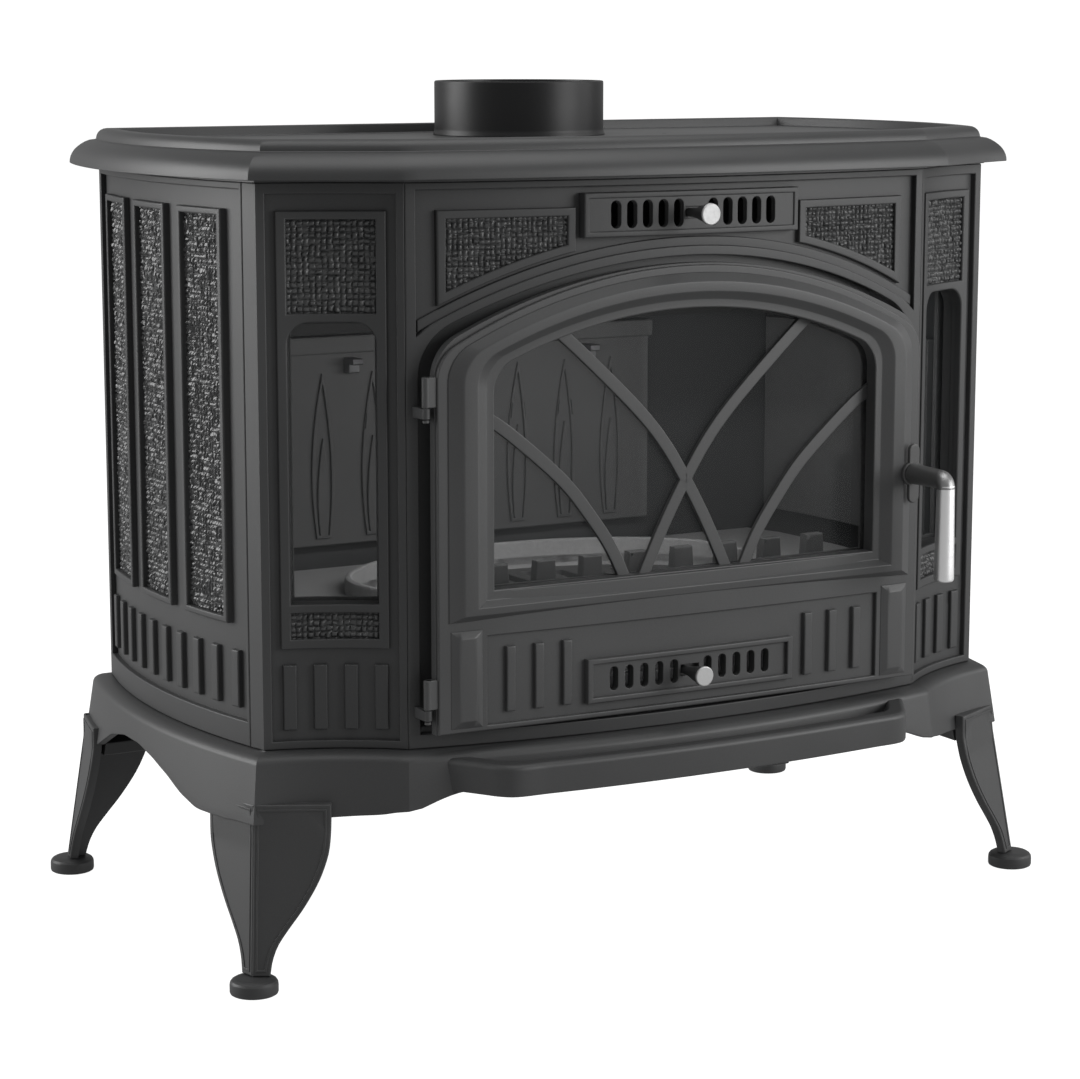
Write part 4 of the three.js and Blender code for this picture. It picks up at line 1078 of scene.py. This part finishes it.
# %% Corner panels
seam_u = DIAGONAL_HALF + SEAM_Y - POST_Y - 0.2
left_u = -DIAGONAL_HALF + 0.3
panel_rim = [(left_u, foot_z), (DIAGONAL_HALF, foot_z), (seam_u, foot_z)]
panel_rim += [(seam_u, BODY_TOP), (DIAGONAL_HALF, BODY_TOP), (left_u, BODY_TOP)]
window = arc(17.7, 511, 17, 0, math.pi / 2, 10) + arc(-17.7, 511, 17, math.pi / 2, math.pi, 10)
window += [(-34.7, 304), (34.7, 304)]
openings = [rect(-34.7, 34.7, 535, 608), window, rect(-34.7, 34.7, 276, 297)]
diagonal_sheet = rect(left_u, DIAGONAL_HALF - 1, foot_z, BODY_TOP)
field = rect(-50.5, 50.5, 193.5, 628)
corner_shapes = [
    plate(diagonal, diagonal_sheet, rounded(-WALL, -4.5, 0.4), [window]),
    plate(corner, panel_rim, rounded(-5.2, 0, 1.1), [field], crease=DIAGONAL_HALF),
    plate(diagonal, rect(-43, 43, 268, 615), rounded(-5.5, -0.4, 1.5), openings),
    plate(diagonal, rect(-43, 43, 298, 534), rounded(-17.8, -9, 0.4), [window]),
]
both_sides("corner_panel", corner_shapes, IRON)
backs = [rect(-36, 36, 534, 609), rect(-36, 36, 275, 298)]
woven_squares = [plate(diagonal, outline, WOVEN_SHEET, grid=WEAVE_GRID) for outline in backs]
woven_both_sides("corner_relief", woven_squares, (1.0, 2.0), RELIEF, 3.2, 4.8, 0.8)
bar = plate(upright, rect(-5.5, 5.5, 202, 255), rounded(-1, 3.6, 1.4), grid=None)
bar_spots = spots_on(diagonal, [-36.8, -12.3, 12.3, 36.8], 0)
bar_spots[:, :2] += 4.6 * DIAGONAL[[1, 0]] * (-1, 1) / np.linalg.norm(DIAGONAL)
repeated_both_sides("corner_bars", bar, bar_spots, IRON)
pane = plate(diagonal, rect(-41, 41, 298, 534), rounded(-22.1, -18.1, 0.5, both=True))
both_sides("side_glass", [pane], GLASS)
frame_rim, hole = rect(-43, 43, 294, 538), rect(-33, 33, 306, 525)
retainer = plate(diagonal, frame_rim, rounded(-26, -22.4, 0.5, both=True), [hole])
both_sides("side_glass_retainer", [retainer], FIREBOX)

# %% [markdown]
# ## The side panels
#
# Three tall frames stand in a sunk field over a row of short bars, and each frame holds a hammered
# panel. The bars follow the curve of the side, so each is turned to the wall where it stands.

# %% Side panels
SIDE_MIDDLE = -41 - SIDE_CENTRE_Y
side_rim = rect(SEAM_Y - SIDE_CENTRE_Y + 0.2, BACK_Y - SIDE_CENTRE_Y - 0.3, foot_z, BODY_TOP)
side_field = rect(SIDE_MIDDLE - 151, SIDE_MIDDLE + 151, 207, 631)
side_shapes = [
    plate(side, side_rim, rounded(-WALL, -5, 0.4)),
    plate(side, side_rim, rounded(-6, 0, 1.1), [side_field]),
]
hammered = []
for frame_middle in (-92, 0, 92):
    u = SIDE_MIDDLE + frame_middle
    hole = rect(u - 28.5, u + 28.5, 289, 609.5)
    side_shapes.append(plate(side, rect(u - 34, u + 34, 283.5, 615), rounded(-6, 0.4, 1.5), [hole]))
    sheet = rect(u - 29.5, u + 29.5, 288, 610.5)
    hammered.append(plate(side, sheet, [(0, -8.5), (0, -5.4)], grid=(1.15, 1.15)))
both_sides("side_panel", side_shapes, IRON)
woven_both_sides("side_relief", hammered, (6.0, 9.0), SIDE_RELIEF, 2.6, 4.2, 0.9)
side_bar = plate(upright, rect(-5, 5, 216, 263), rounded(-6, -0.8, 1.6), grid=None)
side_spots = spots_on(side, [SIDE_MIDDLE - 134.1 + 29.8 * i for i in range(10)], 0)
repeated_both_sides("side_bars", side_bar, side_spots, IRON)

# %% [markdown]
# ## Back panel and rear shield
#
# Nobody looks at the back, so it is plain: a ribbed casting, and a thin sheet-steel shield held
# off it on four posts so that air can rise between them.

# %% Back panel and rear shield
back_sheet = plate(back, rect(-340, 340, foot_z, BODY_TOP), rounded(-WALL, 0, 1.2), grid=None)
outlines = [rect(x - 5, x + 5, 240, 580) for x in (-150, 0, 150)]
ribs = [plate(back, outline, rounded(-1, 4, 1.5), grid=None) for outline in outlines]
piece("back_panel", [back_sheet, *ribs], IRON)
vents = [[(i * 90 + z, 564 + u) for u, z in slot(0, 0, 8, 60)] for i in range(-2, 3)]
shield = plate(back, rect(-300, 300, 205, 612), rounded(11, 13, 0.5, both=True), vents, grid=None)
creases = [
    plate(back, rect(u - 3, u + 3, 235, 540), rounded(12, 14, 1.2), grid=None)
    for u in (-200, -100, 100, 200)
]
spacer = [(BACK_Y + 0.4, 6.6), (BACK_Y + 0.8, 7), (BACK_Y + 12.4, 7), (BACK_Y + 12.5, 6.6)]
screw = [(BACK_Y + 12.6, 5.6), (BACK_Y + 14.6, 5.2), (BACK_Y + 15.6, 3.4)]
stands = [
    lying(x, z, steps) for x in (-250, 250) for z in (230, 580) for steps in (spacer, screw)
]
piece("rear_shield", [shield, *creases, *stands], IRON)

# %% [markdown]
# ## Top plate and flue collar
#
# The top plate overhangs the body. Its rim is an ogee: a deep quarter-round, a small step, a
# second round, then a flat lip round the sunk hot plate. In plan it bows in front, hollows at the
# diagonals and bulges at the sides, with a mitred crease at each corner, so the plan is five
# curves and the rim is a list of rings inside it.


# %% Top plate and flue collar
def top_curves():
    """The curves of the plan, anticlockwise from the front. Each ends on a mitred corner."""
    bow = arc(0, -310 + 1437, 1437, -math.pi / 2 - 0.1792, -math.pi / 2 + 0.1792, 48)
    hollow = [bow[-1], (283, -272.5), (310, -257.5), (337, -243.5), (363.8, -231.2)]
    bow, hollow = np.array(bow), np.array(spline(hollow, 5))
    y = np.linspace(-231.2, 137, 46)
    flank = np.column_stack([397.7 - (y + 47) ** 2 / (2 * np.where(y < -47, 500, 624)), y])
    hem = np.column_stack([np.linspace(flank[-1, 0], -flank[-1, 0], 60), np.full(60, 137.0)])
    other = lambda curve: (curve * (-1, 1))[::-1]
    return [bow, hollow, flank, hem, other(flank), other(hollow)]


TOP_CURVES = top_curves()


def top_inside(d):
    """The plan moved d inwards, its corners still mitred and its points spread between them."""
    ways = [left_of(curve) for curve in TOP_CURVES]
    loop = []
    for k, curve in enumerate(TOP_CURVES):
        before, after = ways[k - 1][-1], ways[(k + 1) % len(ways)][0]
        first, last = ways[k][0], ways[k][-1]
        first_shift = (first + before) / (1 + first @ before) - first
        last_shift = (last + after) / (1 + last @ after) - last
        t = np.linspace(0, 1, len(curve))[:, None]
        loop += [*(curve + d * (ways[k] + first_shift * (1 - t) + last_shift * t))[:-1]]
    return [tuple(p) for p in loop]


ogee = [
    (2, TOP_FOOT), (0.4, 639.5), (0, 640), (0.15, 642.4), (0.9, 645.6), (2.3, 648.6), (4.2, 651.4),
    (6.6, 653.8),
]
ogee += [
    (9.6, 656.2), (13, 658.3), (16.6, 659.8), (19.6, 660.3), (21.3, 660.5), (21.9, 661),
    (22.1, 662.4),
]
ogee += [
    (22.8, 664.6), (24, 666.6), (25.8, 668.3), (28.2, 669.5), (31, 670), (39.3, 670), (40.2, 669.7),
]
ogee += [
    (40.8, 668.9), (42.6, TOP_SUNK + 0.5), (43.2, TOP_SUNK), (43.6, TOP_SUNK - 0.4),
    (43.6, TOP_FOOT),
]


through = [(0, TOP_FOOT), (0, TOP_SUNK)]
flue_hole = (circle(0, 0, 62), through)
small_hole = (circle(128, -38, 2.2, 16), through)
moulding = looped(flat, [(top_inside(d), z) for d, z in ogee])
hot_plate = plate(flat, top_inside(42.9), through, [flue_hole, small_hole], grid=None)
seat_hole = (circle(0, 0, 62), [(0, BODY_TOP + 0.3), (0, 642)])
seat = plate(flat, BODY, [(-2, BODY_TOP + 0.3), (-2, 642)], [seat_hole], grid=None)
piece("top_plate", [moulding, hot_plate, seat], TOP_IRON)
collar_rings = [
    (60, 662.3), (76.2, 662.3), (76.2, 663), (75.5, 665), (75, 667.5), (75, COLLAR_TOP - 1.4),
]
collar_rings += [
    (74.6, COLLAR_TOP - 0.4), (73.7, COLLAR_TOP), (70, COLLAR_TOP), (69.3, COLLAR_TOP - 0.4),
]
collar_rings += [(69, COLLAR_TOP - 1.4), (69, 670.4), (60, 670)]
collar = looped(flat, [(circle(0, 0, r, 112), z) for r, z in collar_rings])
piece("flue_collar", [collar], COLLAR_IRON)

# %% [markdown]
# ## The door
#
# The door's main feature is its window surround: from a fine groove it rises in a bevel to a flat
# band, then falls in a second bevel to the glass. Its outline changes shape a little from outside
# to inside, so the surround is lofted from rings, each a flat-topped arch of its own.


# %% The door
def surround_ring(d):
    """The arch that lies d inside the door's edge."""
    measures = ((290, 307, 315), (561, 538.5, 531.5), (452, 430, 420), (34, 28, 28))
    return arched(DOOR_HALF - d, *(np.interp(d, (7.3, 41.7, 48.7), three) for three in measures))


surround_profile = [
    (7.3, -2), (7.3, -0.2), (7.9, -1.2), (8.5, -0.2), (9.2, 1), (18.6, 5.7), (19.6, 6.2), (21, 6.5),
]
surround_profile += [
    (31, 6.5), (32.2, 6.2), (33.2, 5.6), (41.2, 1.1), (42.4, 0.7), (47.6, 0.7), (48.4, 0.3),
    (48.7, -0.6),
]
surround_profile += [(48.7, -10.8), (44, -10.8), (44, -2)]
surround = looped(door_face, [(surround_ring(d), w) for d, w in surround_profile])
door_rim = arched(DOOR_HALF, DOOR_BOTTOM, DOOR_CROWN, 448, 32)
pane_hole = arched(184, 314, 532.5, 421, 28)
air_ways = [*vent_slots(LOWER_Z, *LOWER_SLOT), knob_slot(LOWER_Z)]
holes = [pane_hole, circle(*SPINDLE, 6.4, 24)]
vent_rim, vent_hole = rect(-99.7, 99.7, 213.2, 250.1), rect(-94.5, 94.5, 218, 245.4)
slab_rim = arched(232.6, 200.4, 567.6, 478, 38)
door_shapes = [
    plate(door_face, slab_rim, rounded(-6.5, -3.5, 0.4), [*holes, *air_ways]),
    plate(door_face, slab_rim, rounded(-11, -6, 0.8), [*holes, rect(-94, 94, 216.5, 246.7)]),
    plate(door_face, door_rim, rounded(-4.2, 0, 1.2), [*holes, rect(-189, 189, 205.5, 278)]),
    surround,
    plate(door_face, vent_rim, rounded(-4.5, 2.2, 1.2), [vent_hole]),
    plate(door_face, rect(-95, 95, 217.5, 246), rounded(-4, -1.4, 0.6), air_ways),
]
block_profile = [(0, -4), (0, -0.2), (0.5, 0.5), (5.6, 3.1), (7, 3.5)]
for u in (-207.5, 207.5):
    door_shapes.append(plate(door_face, rect(u - 14, u + 14, 204.5, 284), block_profile))
for low in HINGE_FEET.values():
    reach = (low + 9, low + 33)
    tab = block(HINGE[0], -229, HINGE[1] - 2.8, HINGE[1] + 4.4, *reach, 0.8)
    door_shapes += [post(*HINGE, *reach, HINGE_RADIUS), tab]
piece("door", door_shapes, DOOR_IRON, "door")
door_bar = plate(upright, rect(-4, 4, 214.5, 268), rounded(-0.5, 4, 1.3), grid=None)
bar_xs = [way * x for way in (-1, 1) for x in (117, 142.5, 168)]
door_bars = spots_on(door_face, bar_xs, 0)
door_bars[:, 1] += 3.6
repeated("door_bars", door_bar, door_bars, DOOR_IRON, body="door")
lower = air_slide(door_face, LOWER_Z, 84, 25, -9.6, -7.2, -292, LOWER_DISC_Y, LOWER_SLOT)
piece("lower_air_slide", lower, IRON, "lower_slide")
lower_disc = knob_disc(LOWER_Z, LOWER_DISC_Y, 8.4)
piece("lower_knob_cap", [lower_disc], KNOB_NICKEL, "lower_slide")
guard_rim, guard_hole = rect(-100, 100, 210, 252), rect(-82, 82, 220, 243)
guard = plate(door_face, guard_rim, rounded(-13.6, -11.3, 0.5, both=True), [guard_hole])
piece("lower_slide_guard", [guard], FIREBOX, "door")

# %% [markdown]
# ## The window
#
# In front of the pane two long bars cross, and two short ones run to the corners. Each is a smooth
# line through a few points, given a width. A braided rope and a holder frame press the pane from
# behind.


# %% The window
def band(points, width):
    """The outline of a strip of that width along a smooth line."""
    line = np.array(spline(points, 10))
    out = left_of(line) * width / 2
    return [tuple(p) for p in [*(line + out), *(line - out)[::-1]]]


LONG_BAR = [(-131, 527), (-94, 495), (-46, 450), (-20, 420), (2, 386), (22, 350), (44, 304)]
SHORT_BAR = [(-190, 455), (-164, 438), (-117, 398), (-90, 366), (-70, 337), (-54, 304)]
lines = [[(way * x, z) for x, z in line] for line in (LONG_BAR, SHORT_BAR) for way in (1, -1)]
bars = [plate(door_face, band(line, 10.5), rounded(-14.6, -11.3, 0.9)) for line in lines]
rim_hole = arched(185, 314, 533.5, 422, 29)
rim = plate(door_face, arched(192, 307, 539.5, 428, 35), rounded(-14.6, -11.3, 0.6), [rim_hole])
piece("window_tracery", [*bars, rim], TRACERY, "door")
pane = plate(door_face, arched(190, 309, 537.5, 426, 33), rounded(-18.9, -14.9, 0.6, both=True))
piece("door_glass", [pane], GLASS, "door")
rope_rings = []
for t in np.linspace(0, 2 * math.pi, 14, endpoint=False):
    d, w = 5 * math.cos(t), 3.7 * math.sin(t)
    rope_rings.append((arched(201.5 - d, 297.5 + d, 549 - d, 437 - d, 43 - d), -15.2 + w))
piece("door_seal", [looped(door_face, rope_rings)], ROPE, "door")
holder_rim, holder_hole = arched(195, 304, 542.5, 431, 37), arched(184, 315, 530.5, 419, 27)
holder = plate(door_face, holder_rim, rounded(-21.6, -19.2, 0.5, both=True), [holder_hole])
piece("glass_holder", [holder], FIREBOX, "door")

# %% [markdown]
# ## The handle
#
# A round crank comes straight out of the door, bends down in a soft elbow and carries a loose
# bright grip. Behind the door its spindle turns the latch cam.

# %% The handle
SKIN_Y = -(DOOR_REACH - SPINDLE[0] ** 2 / DOOR_BOW)
GRIP_Y = SKIN_Y - 55.5
BEND = 7.0
x, z = SPINDLE
bend = [(math.sin(t), math.cos(t)) for t in np.linspace(0, math.pi / 2, 12)]
arm_path = [(x, SKIN_Y - out, z) for out in (10.5, 11.5, 20, 34)]
arm_path += [(x, GRIP_Y + BEND - BEND * out, z - BEND + BEND * up) for out, up in bend]
arm_path += [(x, GRIP_Y, z - BEND - 1.2), (x, GRIP_Y, z - BEND - 2)]
arm_radii = [8.6, 9, 8.6, 8.2, *np.linspace(8.0, 7.7, 12), 7.2, 6.2]
spindle = lying(x, z, [(-254.8, 5.6), (-255.2, 6), (SKIN_Y - 10.6, 6), (SKIN_Y - 11, 5.8)])
arm = swept(arm_path, arm_radii, 36)
piece("handle_arm", [arm, spindle], ARM_METAL, "handle")
grip_steps = [
    (-86, 6.6), (-85.7, 7.6), (-84.9, 8.3), (-83.6, 8.6), (-70, 8.5), (-40, 8.0), (-14, 7.7),
]
grip_steps += [(-4.6, 7.6), (-3.8, 7.3), (-3.4, 6.8)]
grip = standing(x, GRIP_Y, [(z + up, r) for up, r in grip_steps], 48)
piece("handle_grip", [grip], NICKEL, "handle")
plate_shapes = [
    plate(door_face, slot(x + 1, z, 11, 51), rounded(6.7, 10, 0.9), grid=None),
    lying(
        x, z, [(SKIN_Y - out, r) for out, r in ((6.8, 9.9), (7.2, 10.5), (9.4, 10.5), (10, 9.9))]
    ),
]
piece("handle_plate", plate_shapes, PIN_STEEL, "door")
cam_foot = [(x - 6, z - 22), *arc(x, z - 20, 6, math.pi, 2 * math.pi, 8), (x + 6, z - 22)]
cam_outline = [*arc(x, z, 9, 0, math.pi, 14), *cam_foot]
cam = plate(upright, cam_outline, rounded(248.5, 254.5, 0.7, both=True), grid=None)
piece("latch_cam", [cam], ZINC, "handle")

# %% [markdown]
# ## Inside the firebox
#
# Through the glass one sees a back lining with tall pointed lancets, its top ledge and two hooks
# for the baffle, and below them the oval ring of the hearth with a toothed log guard in front.
# These are all repeats of one shape, so the lancets and the teeth come from the same tree as the
# bars.


# %% The firebox
def lancet(half, foot_line, tip):
    rise = np.linspace(0, 1, 16)
    width = half * np.sin(math.pi * (0.2 + 0.8 * rise)) ** 0.9
    right = list(zip(width, foot_line + (tip - foot_line) * rise))
    right[-1] = (0.0, float(tip))
    return [*right, *[(-u, h) for u, h in right[-2::-1]]]


raised = rounded(-0.5, 2.6, 0.8)
outer_line = plate(upright, lancet(11.4, 296, 447), raised, [lancet(8.2, 299, 438)], grid=None)
inner_line = plate(upright, lancet(5.6, 297, 388), raised, grid=None)
motif = joined([outer_line, inner_line])
lancet_spots = [(k * 50.5, 95.9, 0, 0) for k in range(-3, 4)]
repeated("lining_lancets", motif, lancet_spots, FIREBOX)
lining = [block(-194, 194, 96, 104, 289, 466, 1.2), block(-194, 194, 88, 104, 465, 481, 2.5)]
piece("lining_back", lining, FIREBOX)
curved_lining = plate(side, rect(-128, 134, 289, 478), rounded(-34, -27, 1.2, both=True))
both_sides("lining_side", [curved_lining], FIREBOX)
hook = [block(119, 129, 84, 95.7, 447, 461, 1.2), block(119, 129, 76, 84.5, 455, 461, 1.2)]
both_sides("baffle_hook", hook, ZINC)
slope = (556 - 484) / (86 + 118)


def sloping(u, z, w):
    """A sheet that rises towards the door."""
    return np.stack([u, z, 484 + slope * (86 - z) + w], 1)


baffle = plate(sloping, rect(-280, 280, -118, 86), rounded(0, 6, 1, both=True), grid=None)
piece("baffle", [baffle], FIREBOX)

WELL_Y = -62.0
shelf_edge = [(300, -200), (322, -120), (326, -40), (318, 50), (305, 88)]
shelf_edge = [(-300, -200), *shelf_edge, *[(-x, y) for x, y in shelf_edge[:0:-1]]]
shelf = plate(flat, shelf_edge, rounded(262, 270, 1), [oval(0, WELL_Y, 190, 118)], grid=None)
rail = [
    (197, 250), (197, 281), (196.2, 283.2), (194.5, 284), (192, 284), (190.6, 283.2), (190, 281.5),
    (190, 250),
]
ledge = [(195, 240), (195, 248.4), (176, 248.4), (176, 240)]
rings = [
    looped(flat, [(oval(0, WELL_Y, r, r - 72), z) for r, z in steps]) for steps in (rail, ledge)
]
corners = [(x, y) for x in (-290, 290) for y in (-186, 70)]
legs = [
    plate(flat, rect(x - 8, x + 8, y - 8, y + 8), rounded(foot_z, 262.5, 0.8)) for x, y in corners
]
piece("hearth_ring", [shelf, *rings, *legs], RING)
grate_slots = []
for i in range(-6, 7):
    reach = 102 * math.sqrt(1 - ((abs(i) * 27 + 7) / 176) ** 2)
    grate_slots.append([(i * 27 + u, WELL_Y + v) for u, v in slot(0, 0, 14, 2 * reach)])
grate = plate(flat, oval(0, WELL_Y, 188.5, 116.5), rounded(249, 259, 1.4), grate_slots, grid=None)
piece("grate", [grate], FIREBOX)
tooth = [(-12, 279), (12, 279), (9, 318), (-9, 318)]
tooth = plate(upright, tooth, rounded(-5, 5, 1.6, both=True), grid=None)
repeated(
    "log_guard_teeth", tooth, [(45 * i, -205, 0, 0) for i in range(-4, 5)], FIREBOX
)
guard_bar = plate(
    upright, rect(-198, 198, 270.3, 280), rounded(199, 211, 1.5, both=True), grid=None
)
piece("log_guard", [guard_bar], FIREBOX)
pan_wall = [(0, foot_z), (0, 225.2), (0.5, 226), (2, 226), (2.5, 225.2), (2.5, 190), (4, 189.5)]
pan = plate(flat, rect(-140, 140, -205, 55), pan_wall, grid=None)
grip_rim, grip_hole = rect(-34, 34, -219, -204.5), rect(-28, 28, -213.5, -208)
pan_grip = plate(flat, grip_rim, rounded(206, 216, 1.5, both=True), [grip_hole], grid=None)
piece("ash_pan", [pan, pan_grip], ZINC)

# %% [markdown]
# ## Floor, light and camera
#
# The stove stands on a plain pale floor in a white studio. Large soft lamps stand to its left and
# behind, and to its right and in front, so the side panel brightens towards the back and every
# bevel that faces right catches light.

# %% Floor
FLOOR_REACH, FLOOR_Z = 12, -0.0005  # metres
WHITE = (1, 1, 1, 1)
floor_mesh = bpy.data.meshes.new("studio_floor")
floor_corners = rect(-FLOOR_REACH, FLOOR_REACH, -FLOOR_REACH, FLOOR_REACH)
floor_mesh.from_pydata([(x, y, FLOOR_Z) for x, y in floor_corners], [], [(0, 1, 2, 3)])
floor = placed("studio_floor", floor_mesh)
pale, tree, shader = new_material("pale_floor")
seen = add(tree, "ShaderNodeLightPath")["Is Camera Ray"]
paint = {
    "Base Color": (0.22, 0.22, 0.22, 1),
    "Roughness": 0.9,
    "Specular IOR Level": 0.0,
    "Emission Color": WHITE,
    "Emission Strength": add(
        tree, "ShaderNodeMapRange", {"Value": seen, "To Min": 0.25, "To Max": 1.0}
    )[0],
}
set_inputs(tree, shader, paint)
floor_mesh.materials.append(pale)

# %% Studio light
world = bpy.data.worlds.new("white_studio")
bpy.context.scene.world = world
world.use_nodes = True
tree = world.node_tree
fill = tree.nodes["Background"]
set_inputs(tree, fill, {"Color": WHITE, "Strength": 0.36})
white = add(tree, "ShaderNodeBackground", {"Color": WHITE, "Strength": 1.05})[0]
seen = add(tree, "ShaderNodeLightPath")["Is Camera Ray"]
pick = add(tree, "ShaderNodeMixShader", {"Fac": seen, 1: fill.outputs[0], 2: white})[0]
set_inputs(tree, tree.nodes["World Output"], {"Surface": pick})


def softbox(name, place, aim, size, power):
    lamp = bpy.data.lights.new(name, "AREA")
    lamp.shape = "RECTANGLE"
    lamp.size, lamp.size_y = size
    lamp.energy = power
    obj = placed(name, lamp)
    obj.location = place
    obj.rotation_euler = (Vector(aim) - Vector(place)).to_track_quat("-Z", "Y").to_euler()
    return obj


softbox("right_softbox", (2.2, -2.7, 1.3), (0, 0, 0.35), (2.0, 1.8), 72)
softbox("side_softbox", (3.0, -0.9, 0.9), (0, 0, 0.35), (1.2, 1.8), 15)
softbox("left_rear_softbox", (-2.6, 1.6, 1.2), (0, 0, 0.35), (1.8, 2.0), 74)
softbox("top_softbox", (0, -0.3, 2.6), (0, 0, 0.4), (2.4, 1.8), 27)
inner = softbox("firebox_glow", (0, -0.15, 0.50), (0, 0.2, 0.36), (0.44, 0.04), 1.15)
inner.visible_camera = inner.visible_glossy = False
bpy.context.scene.view_settings.view_transform = "Standard"

# %% Camera
camera = bpy.data.cameras.new("camera")
camera.sensor_width = 36.0
camera.lens = 98.43
camera_place = placed("camera", camera)
camera_place.location = (-1.27796, -2.31884 + FLUE_Y * MM, 0.75127)
camera_place.rotation_euler = (math.radians(90 - 9.746), 0, math.radians(-29.267))
bpy.context.scene.camera = camera_place

bpy.context.view_layer.update()
